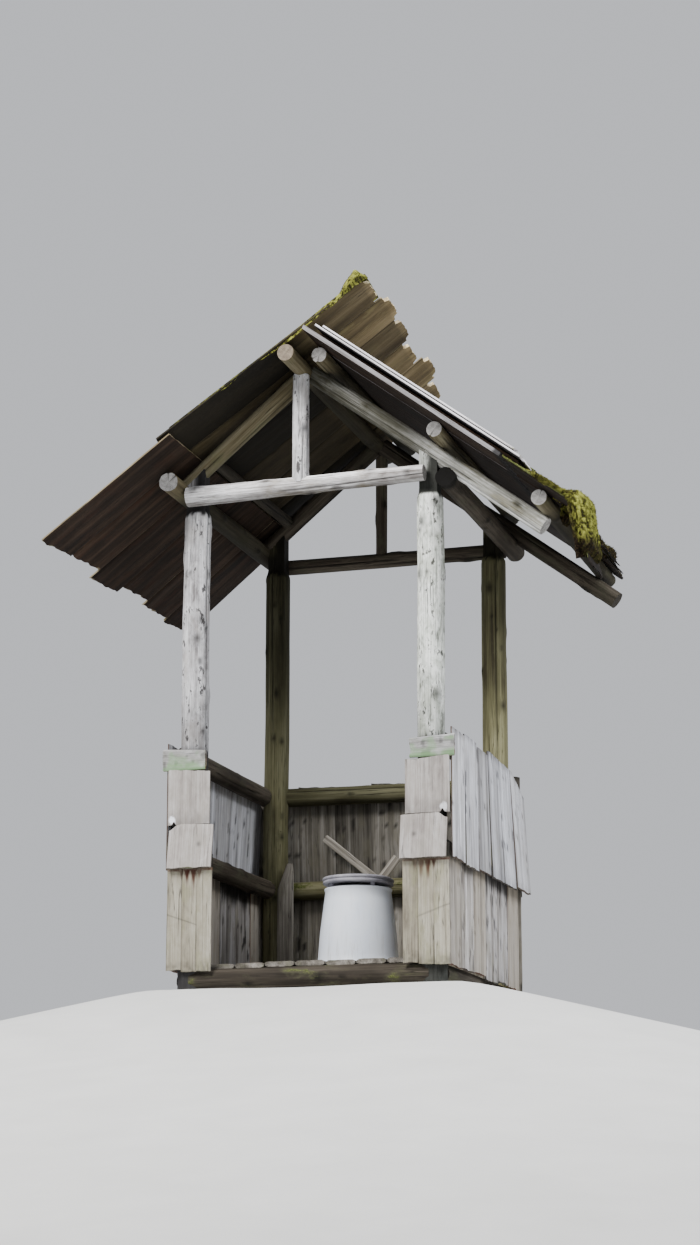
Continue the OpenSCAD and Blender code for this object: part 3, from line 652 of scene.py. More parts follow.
def post(node, seed, material, end):
    """Round post that turns into a squared head above its shoulder, cut to the slope of the rafter on it."""
    low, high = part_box(node)
    centre = np.array([(low.x + high.x) / 2, (low.y + high.y) / 2, 0.0])
    radius = (high.x - low.x) / 2
    top = rafter_height(centre[0])
    tilt = (rafter_height(centre[0] + 0.01) - top) / 0.01

    def squared(points):
        height = points[:, 2]
        change = ease(SHOULDER - 0.035, SHOULDER + 0.004, height)[:, None]
        local = points[:, :2] - centre[:2]
        flat = (np.abs(local) / HEAD_HALF).max(axis=1, keepdims=True)
        square = np.where(flat > 0.3, local / np.maximum(flat, 1e-6), 0.0)
        square = square * np.minimum(1.0, np.linalg.norm(local, axis=1, keepdims=True) / radius)
        points[:, :2] = centre[:2] + local * (1 - change) + square * change
        share = np.clip((height - SHOULDER) / (top - SHOULDER), 0.0, 1.0)
        points[:, 2] = height + share * tilt * (points[:, 0] - centre[0])
        return points

    def paint(points):
        """Painted shade on the ragged head; the front posts darken below, with painted shade on their fronts
        below the panel tops, and the rear ones get painted shade above.
        """
        x, y, height = points.T
        # painted shade on the head above a ragged line at the shoulder, lighter in a patch at its upper left
        pale = ease(top - 0.13, top - 0.07, height) * ease(0.02, -0.02, x - centre[0])
        rise = height + 0.012 * noise(points * 60.0, seed)
        head = ease(SHOULDER - 0.030, SHOULDER - 0.018, rise) * (1.0 - 0.8 * pale)
        if centre[1] > 0:
            # rear posts: painted shade towards the roof, the left post darker, moss at the foot
            lift = 0.50 - 0.90 * ease(1.30, 2.10, height) - 0.60 * (centre[0] < 0)
            return lift, head, 0.35 * ease(0.45, 0.10, height), 0.0
        # front posts: darker below, with painted shade on their fronts below the panel tops
        panel_shade = ease(1.20, 1.17, height) * (y < centre[1] + 0.05)
        return -0.52 * ease(1.60, 1.25, height) - 0.8 * head, np.maximum(head, panel_shade), 0.0, 0.0

    shape = Shape()
    log(shape, centre, centre + Z * top, (radius, radius * 0.94), seed, knots=26, checks=2, segments=64,
        form=squared, paint=paint)
    shape.build(node + "_log", (material, end), (node,))


def straight_log(node, along, across, seed, material=SHADED_LOG, end=SHADED_END, keep=0, taper=1.0, **more):
    shape = Shape()
    for i, points in enumerate(solids(node)):
        start, stop, radius = log_line(points, along, across, keep)
        log(shape, start, stop, (radius, radius * taper), seed + 3 * i, **more)
    shape.build(node + "_log", (material, end), (node,))


def front_tie():
    """Tapered tie whose ends lie on the box's lower left and upper right."""
    low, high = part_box("tie_front")
    y = low.y + TIE_RADII[0]
    start, stop = (low.x, y, low.z + TIE_RADII[0]), (high.x, y, high.z - TIE_RADII[1])
    shape = Shape()
    log(shape, np.array(start), np.array(stop), TIE_RADII, 61, knots=12, checks=4, wobble=0.003, bleach=0.62,
        shade=(0.55, 0.65))
    shape.build("tie_front_log", (TIE_LOG, LOG_END), ("tie_front",))


def log_frame():
    """Posts, ties, plates, king posts and roof logs."""
    def painted_roof_shade(points):
        """Painted shade on logs under the roof, growing from near the front to full darkness inside."""
        return -0.95 * ease(-0.80, -0.50, points[:, 1]), 0.0, 0.0, 0.0

    def shaded_plate_front(points):
        # painted shade on the plate's front end
        return 0.0, 0.95 * ease(-0.62, -0.68, points[:, 1]), 0.0, 0.0

    def shaded_olive_top(points):
        """Painted shade, dark olive, near the ridge; paler further down."""
        return 1.05 * ease(0.45, 0.80, points[:, 0]), 0.0, 0.0, 0.95 * ease(0.75, 0.45, points[:, 0])

    post("post_front_left", 11, LILAC_LOG, LOG_END)
    post("post_front_right", 12, SILVER_LOG, LOG_END)
    post("post_rear_left", 13, REAR_LOG, SHADED_END)
    post("post_rear_right", 14, REAR_LOG, SHADED_END)
    front_tie()
    straight_log("tie_rear", X, Y, 22, keep=1)
    straight_log("wall_plate_left", Y, X, 23, OLIVE_LOG, LOG_END, keep=-1, paint=painted_roof_shade)
    straight_log("wall_plate_right", Y, X, 24, keep=1, paint=shaded_plate_front)
    straight_log("king_post_front", Z, Y, 25, LILAC_LOG, LOG_END, keep=-1, taper=0.92)
    straight_log("king_post_rear", Z, Y, 26, keep=1)
    straight_log("ridge_pole", Y, X, 27, OLIVE_LOG, BROWN_END, paint=painted_roof_shade)
    straight_log("rafter_front_left", DOWN_LEFT, Y, 28, OLIVE_LOG, LOG_END, taper=0.94, bleach=0.45)
    straight_log("rafter_front_right", DOWN_RIGHT, Y, 29, RAFTER_LOG, LOG_END, knots=8, bleach=0.6,
                 paint=shaded_olive_top)
    straight_log("rafter_rear_left", DOWN_LEFT, Y, 30, shade=(0.1, 0.3))
    straight_log("rafter_rear_right", DOWN_RIGHT, Y, 31, shade=(0.1, 0.5))
    for i, name in enumerate(("upper", "middle", "eave")):
        straight_log("purlin_right_" + name, Y, X, 32 + i, OLIVE_LOG, LOG_END, paint=painted_roof_shade)
    straight_log("pole_left_middle", Y, X, 35, shade=(0.1, 0.1))


def base_frame():
    """Sills and joist in painted shade, hewn flat above and below, with moss on the front one, and the wall
    rails.
    """
    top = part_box("floor_joist")[1].z

    def hewn(points):
        points[:, 2] = np.clip(points[:, 2], 0.0, top)
        return points

    def mossy(points):
        return 0.0, 0.0, 0.30 * ease(-0.4, -0.7, points[:, 1]), 0.0

    def green_back(points):
        """Only the lower of the two rear rails is green."""
        middle = ease(0.60, 0.66, points[:, 2]) * (points[:, 2] < 0.9)
        return 0.5 * middle, 0.0, 0.46 * middle, 0.0

    for i, (node, along) in enumerate((("sill_front", X), ("sill_rear", X), ("sill_left", Y), ("sill_right", Y),
                                       ("floor_joist", X))):
        straight_log(node, along, Z, 41 + i, SHADED_SILL_LOG, SHADED_END, form=hewn, paint=mossy, segments=40)
    straight_log("rails_left", Y, X, 51)
    straight_log("rails_right", Y, X, 53)
    straight_log("rails_rear", X, Y, 55, REAR_LOG, SHADED_END, shade=(0.1, 0.1), paint=green_back)


# ---- Roof boards

RIDGE = np.array([(a + b) / 2 for a, b in zip(*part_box("ridge_pole"))])

# Lengths rotted off the tips of the mossy eave boards, from the front
EAVE_LOST = (0.02, 0.0, 0.0, 0.0, 0.03, 0.10)


def boards(node, along, outward, seed, materials, paint, spread, warm=0.0, **more):
    """The boards of a node. warm tints some of them, and spread may be found from a board's corners."""
    shape = Shape()
    for i, points in enumerate(solids(node)):
        riven_board(shape, board_stations(points, along, outward), seed + i, paint=paint,
                    spread=spread(points) if callable(spread) else spread,
                    warm=warm * max(0.0, 0.25 + 0.55 * hashed(np.array([i, 4, 2]), 213)), **more)
    shape.build(node + "_boards", materials, (node,))


def eave_boards():
    """Stations of the mossy eave boards from the front, without the tips that have rotted away. A board twists
    over at its tip, where its two faces change places."""
    found = []
    for points, lost in zip(sorted(solids("roof_right_eave"), key=lambda p: p[:, 1].mean()), EAVE_LOST):
        stations = board_stations(points, DOWN_RIGHT, UP_RIGHT, 3)
        stations[2] = stations[2, :, ::-1]
        stations[2] -= lost * unit(stations[2] - stations[1])
        found.append(stations)
    return found


def left_slope():
    """Painted shade beneath, deepest inside the gable, and weathered brown where the upper course runs on past
    the ridge.
    """
    def upper_tones(place, points):
        u, v, w = place.T
        run = (points - RIDGE) @ DOWN_LEFT
        # painted shade on the underside inside the gable, more of it towards the rear
        inside = ease(-0.16, 0.10, run) * (w < 0.6)
        front = ease(-0.72, -0.90, points[:, 1]) * ease(-0.44, -0.56, run)
        tip = ease(0.035, 0.015, u)
        shade_depth = 0.75 + 0.6 * ease(-1.15, -0.55, points[:, 1])
        joint = 0.7 * ease(0.045, 0.0, rim(v)) * (1.0 - tip)
        return 0.8 * tip - 1.15 * inside * shade_depth, joint, (0.30 + 0.14 * front) * (w > 0.8), 0.0

    def lower_tones(place, points):
        outer = place[:, 2] > 0.5
        # painted shade: the underside far darker than the top
        return -0.8 + 0.6 * outer, 0.0, 0.35 * outer, 0.0

    def split_tip(v):
        return 0.030 * ease(0.0, 0.06, np.abs(v - 0.5) - 0.30), 0.0

    boards("roof_left_upper", DOWN_LEFT, UP_LEFT, 101, (ROOF_UNDER, VERGE_EDGE, ROOF_TOP), upper_tones, 0.0050,
           cells=(64, 20), ragged=(0.016, 0.012), relief=0.0038, vary=0.65, skins=(0, 1, 2), breaks=split_tip)
    boards("roof_left_lower", DOWN_LEFT, UP_LEFT, 121, (ROOF_SHADE_AND_ROT, VERGE_EDGE, ROOF_TOP), lower_tones, 0.0065,
           cells=(44, 20), ragged=(0.004, 0.02), relief=0.0038, skins=(0, 1, 2))


def right_slope():
    """Heavy boards in painted shade with a painted-lit front verge, a layer set back on them in painted shade,
    two thin pale layers with painted shade between them, and a dark, rotten eave.
    """
    def base_tones(place, points):
        u, v, _ = place.T
        # painted shade under the boards and at their lower ends; the front verge painted lit
        verge = 1.5 * ease(0.15, 0.05, v) * (points[:, 1].min() < -1.15)
        return -1.0 + verge - 1.2 * ease(0.96, 0.99, u), 0.0, 0.0, 0.0

    def thin_tones(place, points):
        u, _, w = place.T
        # painted shade on each thin board's lower face, between the layers
        return 0.4, 0.97 * ease(0.45, 0.20, w), 0.40 * ease(0.86, 1.0, u), 0.0

    def eave_tones(place, points):
        u, _, w = place.T
        top = 0.9 * (w > 0.5) * ease(0.97, 0.85, u + 0.05 * noise(points * 40.0, 197))
        return -0.9, 0.6 * ease(0.75, 0.90, u), top, 0.0

    boards("roof_right_base", DOWN_RIGHT, UP_RIGHT, 141, (ROOF_SHADE_AND_ROT, ROOF_EDGE), base_tones, 0.0065,
           cells=(52, 18), ragged=(0.01, 0.01), relief=0.0012, worn=0.04)
    shape = Shape()
    recessed = len(solids("roof_right_base"))
    for i, points in enumerate(sorted(solids("roof_right_thin"), key=lambda p: (p @ UP_RIGHT).mean())):
        riven_board(shape, board_stations(points, DOWN_RIGHT, UP_RIGHT), 161 + i, cells=(52, 14),
                    ragged=(0.012, 0.02), relief=0.0010, wander=0.005, spread=0.0045, worn=0.12,
                    skins=(2, 2, 2) if i < recessed else (0, 1, 0), paint=thin_tones)
    shape.build("roof_right_thin_boards", (ROOF_PALE, ROOF_EDGE, ROOF_SHADE_AND_ROT), ("roof_right_thin",))
    shape = Shape()
    for i, stations in enumerate(eave_boards()):
        riven_board(shape, stations, 191 + i, cells=(70, 30), ragged=(0.004, 0.026 if i else 0.050),
                    spread=0.0065, skins=(0, 0, 0), paint=eave_tones)
    shape.build("roof_right_eave_boards", (ROOF_SHADE_AND_ROT,), ("roof_right_eave",))


# ---- Moss

# Share of a board's length at which its moss ends
MOSS_END = 0.93


def tufts(shape, centres, normals, length, seed, lift, dead):
    """Small shoots that break the moss's outline, three-sided and paler at their tips."""
    count = len(centres)
    picks = [hashed(stack(np.arange(count), k, seed), 9) for k in range(1, 5)]
    way = unit(normals + 0.9 * stack(*picks[:3]))
    side = unit(np.cross(way, [0.31, 0.17, 0.93]))
    third = np.cross(way, side)
    foot = [centres + 0.0026 * (math.cos(turn) * side + math.sin(turn) * third) for turn in (0.0, 2.1, 4.2)]
    tip = centres + way * (length * (1.0 + 0.6 * picks[3]))[:, None]
    points = np.stack(foot + [tip], axis=1).reshape(-1, 3)
    faces = [(4 * i + a, 4 * i + b, 4 * i + 3) for i in range(count) for a, b in ((0, 1), (1, 2), (2, 0))]
    bright = stack(lift, lift, lift, lift + 0.45).ravel()
    shape.add(points, faces, points.copy(), tones(len(points), bright, np.repeat(dead, 4)))


def moss_blanket(shape, lines, depth_at, seed, wrap_at, rows=90, columns=40, tuft=0.010,
                 dead_at=lambda u, q: 0.0):
    """Moss that lies on a board and folds over its near edge. lines holds the near and far upper edges as
    points from top to tip; depth_at(u, q, points) is its depth (below nothing it sinks into the wood) and
    wrap_at(u) how far it reaches down the near edge. q runs from -1 at the fold's foot over 0 at the edge to
    1 at the far side."""
    length, knots = shares(lines[0])
    u = np.linspace(0.0, MOSS_END, rows)
    near, far = (trace(u, knots, line) for line in lines)
    width = np.linalg.norm(far - near, axis=1, keepdims=True)
    across = (far - near) / width
    down = unit(np.gradient(near, axis=0))
    normal = np.cross(across, down)
    normal = normal * np.sign(normal @ (Z + 0.6 * X * np.sign(down.mean(0)[0])))[:, None]
    for _ in range(9):
        normal[1:-1] = (normal[:-2] + 2.0 * normal[1:-1] + normal[2:]) / 4.0
    normal = unit(normal)
    folds = max(5, columns // 4)
    q = np.concatenate([np.linspace(-1.0, -0.35, folds, endpoint=False),
                        np.linspace(-0.35, 0.15, folds, endpoint=False), np.linspace(0.15, 1.0, columns)])
    on, off = np.clip(q, 0.0, 1.0), np.minimum(q, 0.0)
    wrap = np.broadcast_to(wrap_at(u), rows)
    wander = 0.012 * fractal(stack(u * 9.0, 0.3, seed), seed + 2)
    base = near[:, None] + across[:, None] * (on[:, None] * width[:, None])
    base = base + normal[:, None] * (off * (wrap + wander)[:, None])[..., None]
    turn = ease(0.12, -0.30, q)[:, None]
    out = unit(normal[:, None] * (1.0 - turn) - across[:, None] * turn)
    depth = depth_at(u[:, None], q, base)
    fan = 1.57 * np.max(depth, axis=1, keepdims=True) * turn[:, 0]
    flow = stack((u * length)[:, None], on * width + off * wrap[:, None] - fan, 0.37 * seed)
    lumps = fractal(flow * (10.0, 50.0, 1.0), seed, 2)
    fine = fractal(flow * (60.0, 120.0, 1.0), seed + 9)
    depth = np.where(depth > 0, depth * (1.0 + 0.24 * lumps + 0.05 * fine), depth)
    points = (base + out * depth[..., None]).reshape(-1, 3)
    index = np.arange(len(points))
    faces = quads(index.reshape(rows, -1))
    # painted shade: darker where the moss lies low, paler on its lumps, finely mottled
    lift = np.clip(0.5 + 0.15 * lumps + 0.9 * fine, 0.0, 1.0).ravel()
    dead = np.broadcast_to(np.clip(dead_at(u[:, None], q), 0.0, 1.0), depth.shape).ravel()
    flow[..., 2] += depth
    shape.add(points, faces, flow.reshape(-1, 3), tones(len(points), lift, dead))
    chosen = np.flatnonzero((depth.ravel() > 0.006) & (hashed(stack(index, index, index), seed) > -0.1))
    tufts(shape, points[chosen], out.reshape(-1, 3)[chosen], tuft, seed + 3, lift[chosen], dead[chosen])


def eave_moss():
    """Moss on the right eave, thickest over the broken end that hangs at the front, dead at the tips."""
    def hanging(u, q, base):
        patch = 0.5 + 0.5 * fractal(base * 7.0, 401, 2)
        cushion = ease(0.46, 0.60, u + 0.05 * patch)
        strip = 0.014 * ease(0.16, 0.30, u + 0.10 * patch) * (1.0 - cushion)
        body = (strip + 0.050 * cushion) * ease(0.93, 0.87, u)
        sides = 1.0 - ease(0.55, 0.98, np.abs(q) + 0.25 * (patch - 0.5))
        far = 1.0 - 0.75 * ease(0.35, 0.9, q) * (1.0 - cushion)
        return body * (0.75 + 0.35 * patch) * sides * far - 0.004

    def fading(u, q):
        foot = ease(-0.15, -0.75, q) * ease(0.45, 0.60, u)
        return 0.75 * foot + 0.5 * ease(0.52, 0.40, u) + 0.9 * ease(0.77, 0.88, u)

    first, *others = eave_boards()
    shape = Shape()
    moss_blanket(shape, (first[:, 0, 1], first[:, 1, 1]), hanging, 411,
                 lambda u: 0.016 + 0.036 * ease(0.46, 0.60, u), 260, 70, 0.008, fading)
    for i, stations in enumerate(others):
        def creeping(u, q, base):
            patch = fractal(base * 5.0, 421 + i)
            reach = ease(0.25, 0.85, u) * (0.95 - 0.15 * i)
            thick = 0.022 + 0.020 * ease(0.66, 0.82, u)
            return thick * np.clip(0.10 + 0.75 * patch + 0.55 * reach, -0.2, 1.0) * ease(0.92, 0.86, u) - 0.004

        moss_blanket(shape, (stations[:, 0, 1], stations[:, 1, 1]), creeping, 431 + i,
                     lambda u: 0.010 + 0.060 * (i == 0) * ease(0.66, 0.82, u),
                     dead_at=lambda u, q: 0.95 * ease(0.70, 0.85, u))
    shape.build("moss_eave", (MOSS,), sharp=180)


def tip_moss():
    """Moss on the front corner of the boards that run on past the ridge, and a thin trail down their edge."""
    def tip(u, q, base):
        patch = 0.5 + 0.5 * fractal(base * 12.0, 441)
        body = 0.036 * ease(0.13, 0.05, u) * ease(0.004, 0.02, u) + 0.007 * ease(0.34, 0.10, u)
        return body * (0.8 + 0.4 * patch) * ease(0.40, 0.05, q) * (1.0 - ease(0.55, 0.95, -q)) - 0.004

    corner = min((board_stations(points, DOWN_LEFT, UP_LEFT) for points in solids("roof_left_upper")),
                 key=lambda c: c[..., 1].mean())
    if corner[0, 0, 1, 1] > corner[0, 1, 1, 1]:
        corner = corner[:, ::-1]
    shape = Shape()
    moss_blanket(shape, (corner[:, 0, 1], corner[:, 1, 1]), tip, 443, lambda u: 0.020, 220, 36, 0.004)
    shape.build("moss_tip", (MOSS,), sharp=180)


# ---- Walls and floor


def walls():
    """Boards that are darker near their heads and feet; the lower ones are browner."""
    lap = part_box("wall_right_upper")[0].z

    def streaks(place, points):
        """Dark ends, sides and scars."""
        ends = 0.35 * ease(0.12, 0.0, place[:, 0]) + 0.75 * ease(0.94, 1.0, place[:, 0])
        sides = 0.15 * ease(0.06, 0.0, rim(place[:, 1]))
        scar = ease(0.62, 0.85, fractal(points * (55.0, 55.0, 14.0), 209, 2))
        return np.maximum(ends * (0.6 + 0.6 * fractal(points * 60.0, 207, 2)) + sides, 0.9 * scar)

    def lower(place, points):
        """Painted shadow below the upper tier's lap, its lower edge running down in dark streaks."""
        run = 0.045 * fractal(points * (70.0, 70.0, 5.0), 211, 2)
        # painted shadow under the lap, with a streaky lower edge
        run = 0.97 * ease(lap - 0.075, lap + 0.005, points[:, 2] + run)
        return 0.0, np.maximum(streaks(place, points), run), 0.0, 0.0

    def upper(place, points):
        """A little darker by the front corner."""
        return -0.30 * ease(-0.60, -0.66, points[:, 1]), streaks(place, points), 0.0, 0.0

    def rear(place, points):
        """Painted light: paler in the lower tier."""
        return 1.3 * ease(0.62, 0.58, points[:, 2]), streaks(place, points), 0.0, 0.0

    def corner_spread(points):
        """The rearmost board of a side closes up to the rear wall."""
        last = 0.045 if points[:, 1].max() > 0.69 else 0.0035
        return (0.0035, last) if points[0, 0] < 0 else (last, 0.0035)

    for side, outward, seed in (("left", -X, 211), ("right", X, 231)):
        boards("wall_%s_lower" % side, Z, outward, seed, (WALL_LOW, WALL_EDGE), lower, 0.0035, 1.0,
               cells=(30, 14), ragged=(0.012, 0.002), vary=0.30)
        boards("wall_%s_upper" % side, Z, outward, seed + 40, (WALL_BOARD, WALL_EDGE), upper, corner_spread,
               0.35, cells=(34, 14), ragged=(0.010, 0.006), vary=0.30)
    for node, seed in (("wall_rear_lower", 291), ("wall_rear_upper", 311)):
        boards(node, Z, Y, seed, (SHADED_BOARD, SHADED_BOARD), rear,
               lambda points: (0.035 if points[:, 0].min() < -0.70 else 0.006, 0.006),
               cells=(28, 12), ragged=(0.010, 0.008), vary=0.30)


# Places on a front panel, as distance from the middle of the doorway and height
DRIPS_X, DRIPS_MIDDLE, DRIPS_GAP = 0.575, 0.590, 0.034
SCRATCH = (0.62, 0.335)
KNOT = (0.545, 0.705)
CHIP = (0.690, 0.832)
CHIP_HALF = (0.018, 0.020)


def front_panel(node, seed, outer):
    """Three boards with rust drips below, and above them one wide board that is broken across, its lower half
    leaning out, with a short level piece at the top. outer is -1 on the left and 1 on the right."""
    shape = Shape()
    tiers = sorted(solids(node), key=lambda p: p[:, 2].mean())
    lap = tiers[3][:, 2].min()

    def narrow(place, points):
        """Rust drips under the lap, painted shadow on the boards where they run up under it, dirt at the foot
        and a slanting scratch.
        """
        reach, z = np.abs(points[:, 0]), points[:, 2]
        run = 0.5 + 0.5 * np.cos((reach - DRIPS_X) * 2 * math.pi / DRIPS_GAP)
        run = run * ease(0.062, 0.035, np.abs(reach - DRIPS_MIDDLE))
        drip = 0.010 + (0.115 + 0.05 * noise(stack(reach * 30.0, 0.5, seed), seed + 5)) * run
        rust = ease(lap - drip, lap - 0.3 * drip, z)
        foot = 0.6 * ease(0.16, 0.09, z) * (0.5 + 0.5 * noise(points * 70.0, seed + 6))
        slant = SCRATCH[1] + 0.35 * (reach - SCRATCH[0])
        scratch = np.exp(-((z - slant) / 0.0035) ** 2) * ease(0.545, 0.57, reach)
        # painted shadow on the part under the upper tier's lap
        lap_shadow = ease(lap - 0.004, lap + 0.012, z)
        return -0.05, foot + lap_shadow + 0.5 * scratch, 0.0, rust * (1.0 - lap_shadow)

    def leaning(place, points):
        """A knot, and a paler broken rim."""
        x, _, z = points.T
        knot = np.exp(-((x - outer * KNOT[0]) / 0.011) ** 2 - ((z - KNOT[1]) / 0.013) ** 2)
        return 0.10 + 0.10 * ease(0.775, 0.80, z), 0.65 * knot, 0.0, 0.0

    def standing(place, points):
        """A white chip at the break, and dirt above it."""
        x, _, z = points.T
        low = ease(0.90, 0.82, z)
        away = np.hypot((x - outer * CHIP[0]) / CHIP_HALF[0], (z - CHIP[1]) / CHIP_HALF[1])
        chip = ease(1.1, 0.7, away + 0.25 * noise(points * 60.0, seed + 4))
        dirt = 0.30 * low * (0.5 + 0.5 * noise(points * 30.0, seed + 7))
        return 0.05 - 0.12 * low + 0.4 * chip, dirt * (1.0 - chip), 0.0, chip

    def green(place, points):
        """Green on the lower half of the short piece."""
        tint = 0.90 * ease(0.25, 0.75, 1.0 - place[:, 1] + 0.5 * noise(points * 30.0, seed + 9))
        return 0.0, 0.5 * ease(0.4, 0.7, noise(points * 34.0, seed + 8)), 0.0, tint

    def outward(v):
        return v if outer < 0 else 1.0 - v

    def corner_off(v):
        return 0.0, 0.026 * ease(0.80, 1.0, outward(v)) + 0.006 * ease(0.74, 0.78, outward(v))

    def notch(v):
        return 0.018 * np.exp(-((outward(v) - 0.86) / 0.035) ** 2), 0.0

    split = partial(riven_board, shape, relief=0.0022)
    low_boards = [board_stations(points, Z, -Y) for points in tiers[:3]]
    leaning_board, standing_board = (board_stations(points, Z, -Y) for points in tiers[3:5])
    for i, stations in enumerate(low_boards):
        split(stations, seed + i, cells=(130, 14), ragged=(0.008, 0.004), wander=0.003, spread=0.0022,
              vary=0.10, paint=narrow)
    split(leaning_board, seed + 3, cells=(30, 44), ragged=(0.006, 0.003), wander=0.004, spread=0.006,
          breaks=corner_off, vary=0.0, skins=(3, 1, 3), paint=leaning)
    standing_board[0, :, :, 2] -= 0.011
    standing_board[1, :, :, 2] += 0.016
    split(standing_board, seed + 4, cells=(34, 44), ragged=(0.003, 0.010), wander=0.004, spread=0.007,
          breaks=notch, vary=0.0, skins=(3, 1, 3), paint=standing)
    split(board_stations(tiers[5], X, -Y), seed + 5, cells=(34, 18), ragged=(0.010, 0.010), vary=0.0,
          skins=(2, 1, 2), paint=green)
    shape.build(node + "_boards", (PANEL_BOARD, WALL_EDGE, GREEN_BOARD, PANEL_PALE), (node,))


def rear_slats():
    """Two slats left askew on the rear wall and the pointed board by the rear left post."""
    shape = Shape()
    pointed, *askew = sorted(solids("loose_slats"), key=lambda p: p[:, 0].mean())
    riven_board(shape, board_stations(pointed, Z, -Y, 3), 357, cells=(36, 12), relief=0.0025, wander=0.004,
                ragged=(0.002, 0.010), shade=0.4)
    askew.sort(key=lambda p: -np.ptp(p, axis=0).max())
    for i, (points, lean) in enumerate(zip(askew, SLAT_LEANS)):
        along = np.array([math.sin(math.radians(lean)), 0.0, math.cos(math.radians(lean))])
        riven_board(shape, block_stations(points, along, np.cross(along, Y), Y), 351 + i, cells=(24, 8),
                    relief=0.0015, wander=0.003, ragged=(0.002, 0.008), shade=0.6,
                    paint=lambda place, p: (0.5 * (np.abs(place[:, 1] - 0.5) > 0.40), 0.0, 0.0, 0.0))
    shape.build("loose_slats_boards", (SLAT_BOARD, SLAT_BOARD), ("loose_slats",))


def floor():
    """Split boards, all as thick as their node's box."""
    low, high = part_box("floor_boards_all")
    shape = Shape()
    for i, points in enumerate(sorted(solids("floor_boards_all"), key=lambda p: p[:, 0].mean())):
        stations = block_stations(points, Y, X, Z)
        stations[..., 2] = low.z, high.z
        riven_board(shape, stations, 361 + i, cells=(70, 12), relief=0.0018, wander=0.003,
                    ragged=(0.010, 0.010))
    shape.build("floor_boards", (FLOOR_BOARD, FLOOR_BOARD), ("floor_boards_all",))


# ---- Riser


def stadium(width, extra):
    """Outline of two half circles that are extra apart."""
    turn = np.linspace(0.0, math.pi, 29)
    half = stack(width / 2 * np.cos(turn), width / 2 * np.sin(turn) + extra / 2)
    return np.concatenate([-half, half])


def plate_ring(shape, centre, outer, inner, z0, z1, bevel):
    """Flat ring or disc with rounded rims; inner is None for a disc."""
    turn = np.linspace(0.0, math.pi / 2, 5)
    inset, rise = bevel * (1 - np.sin(turn)), bevel * (1 - np.cos(turn))
    profile = stack(np.append(inset, inset[::-1]), np.append(z0 + rise, z1 - rise[::-1]))
    points = []
    for outline, way in ((outer, 1), (inner, -1)):
        if outline is not None:
            outwards = unit(outline - outline.mean(0))
            for back, z in profile[::way]:
                points += [(x, y, z) for x, y in centre[:2] + outline - outwards * way * back]
    n, points = len(outer), np.array(points)
    faces = ring_faces(len(points) // n, n, inner is not None)
    if inner is None:
        faces += [range(n - 1, -1, -1), range(len(points) - n, len(points))]
    shape.add(points, faces, points.copy(), tones(len(points)))


def toilet():
    """Turned hollow shell, wider at its foot, the seat ring on four pads and the cover."""
    low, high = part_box("toilet_riser")
    centre = ((low.x + high.x) / 2, (low.y + high.y) / 2, low.z)
    base, height, wall, top = (high.x - low.x) / 2, high.z - low.z, RISER_WALL, RISER_TOP
    foot, waist, taper = base - 0.012, 0.45, 0.014
    outer = [(base, 0.0), (base, wall - 0.002), (base - 0.002, wall), (foot + 0.004, wall + 0.002),
             (foot, wall + 0.008)]
    outer += [(foot - taper * t / waist, height * t) for t in (0.15, 0.30, waist)]
    outer += [(foot - taper + (top - foot + taper) * t, height * waist + (height * (1 - waist) - 0.016) * t)
              for t in (0.25, 0.5, 0.75, 1.0)]
    inner = [(top + 0.004, height - 0.011), (top + 0.005, height - 0.003), (top + 0.002, height),
             (top - 0.032, height), (top - 0.034, height - 0.003), (top - 0.034, height - wall),
             (top - wall, height - wall - 0.008), (foot - taper - wall, height * waist), (foot - wall, 0.0)]
    shape = Shape()
    lathe(shape, outer + inner, centre)
    shape.build("toilet_riser_shell", (SHELL,), ("toilet_riser",), sharp=50)

    rim_z = high.z
    low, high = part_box("toilet_seat")
    width = high.x - low.x
    extra = (high.y - low.y) - width
    under = rim_z + PAD_H
    shape = Shape()
    plate_ring(shape, centre, stadium(width, extra), stadium(width - 0.15, extra), under, high.z, 0.007)
    circle = 0.012 * stack(np.cos(turns(24)), np.sin(turns(24)))
    for corner in (45, 135, 225, 315):
        turn = math.radians(corner)
        pad = (centre[0] + 0.15 * math.cos(turn), centre[1] + 0.15 * math.sin(turn))
        plate_ring(shape, pad, circle, None, low.z, under + 0.002, 0.002)
    shape.build("toilet_seat_ring", (SEAT,), ("toilet_seat",), sharp=50)

    low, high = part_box("toilet_cover")
    shape = Shape()
    plate_ring(shape, centre, stadium(high.x - low.x, extra), None, low.z, high.z, 0.009)
    shape.build("toilet_cover_lid", (SEAT,), ("toilet_cover",), sharp=50)


# ---- Stage, light and camera


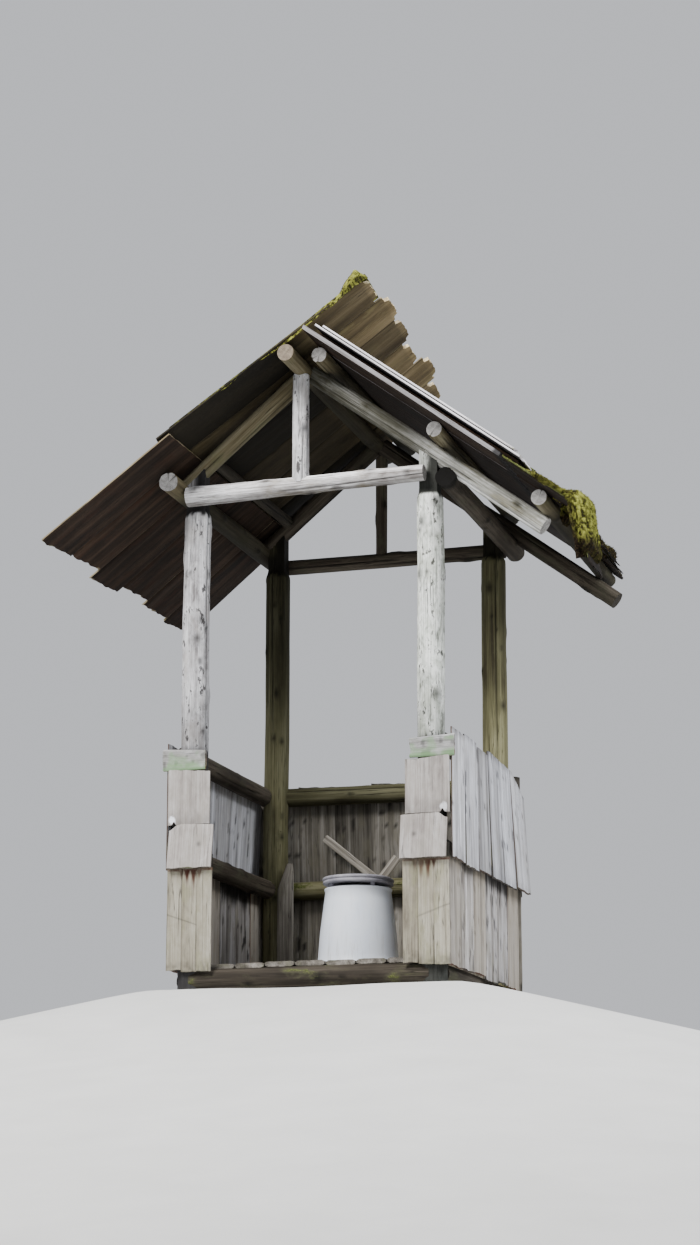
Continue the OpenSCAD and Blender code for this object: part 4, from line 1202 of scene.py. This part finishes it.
def stage():
    """Pale mound: level under the building and falling away round it, so that a low camera sees the feet."""
    half, fall, soft, sides = 0.74, math.tan(math.radians(14)), 0.10, 120
    radius = np.concatenate([[0.0, 0.5], np.geomspace(0.9, 40.0, 90)])[:, None]
    x, y = radius * np.cos(turns(sides)), radius * np.sin(turns(sides))
    away = np.hypot(np.maximum(np.abs(x) - half, 0.0), np.maximum(np.abs(y) - half, 0.0))
    z = -fall * (np.hypot(away, soft) - soft) - 0.001
    mesh = smooth_mesh("stage_floor", stack(x, y, z).reshape(-1, 3), ring_faces(len(radius), sides),
                       (stage_material(),))
    obj = place_object("stage_floor", mesh)


def aim(obj, place, target):
    obj.location = place
    obj.rotation_euler = (Vector(target) - Vector(place)).to_track_quat("-Z", "Y").to_euler()


def area_light(name, place, target, energy, colour):
    light = bpy.data.lights.new(name, "AREA")
    light.shape = "DISK"
    light.size = 4.0
    light.energy = energy
    light.color = colour
    aim(place_object(name, light), place, target)


def lights():
    world = bpy.data.worlds.new("studio")
    world.use_nodes = True
    background = world.node_tree.nodes["Background"]
    background.inputs["Color"].default_value = (0.93, 0.95, 1.0, 1.0)
    background.inputs["Strength"].default_value = 0.70
    bpy.context.scene.world = world
    area_light("key", (-2.5, -7.0, 7.5), (0.0, 0.0, 1.6), 1450.0, (1.0, 0.98, 0.96))
    area_light("side", (6.5, -2.5, 5.0), (0.0, 0.0, 1.4), 620.0, (0.95, 0.97, 1.0))


def camera():
    """The photo's place and angle, fitted to the posts, the tie and the rafters."""
    data = bpy.data.cameras.new("camera")
    data.lens = 77.0
    data.sensor_width = 36.0
    data.sensor_fit = "AUTO"
    data.clip_end = 200.0
    obj = place_object("camera", data)
    aim(obj, (3.92, -12.853, -1.292), (0.0, 0.0, 1.95))
    bpy.context.scene.camera = obj


camera()
lights()
stage()
log_frame()
base_frame()
left_slope()
right_slope()
eave_moss()
tip_moss()
walls()
front_panel("front_panel_left", 331, -1)
front_panel("front_panel_right", 341, 1)
rear_slats()
floor()
toilet()
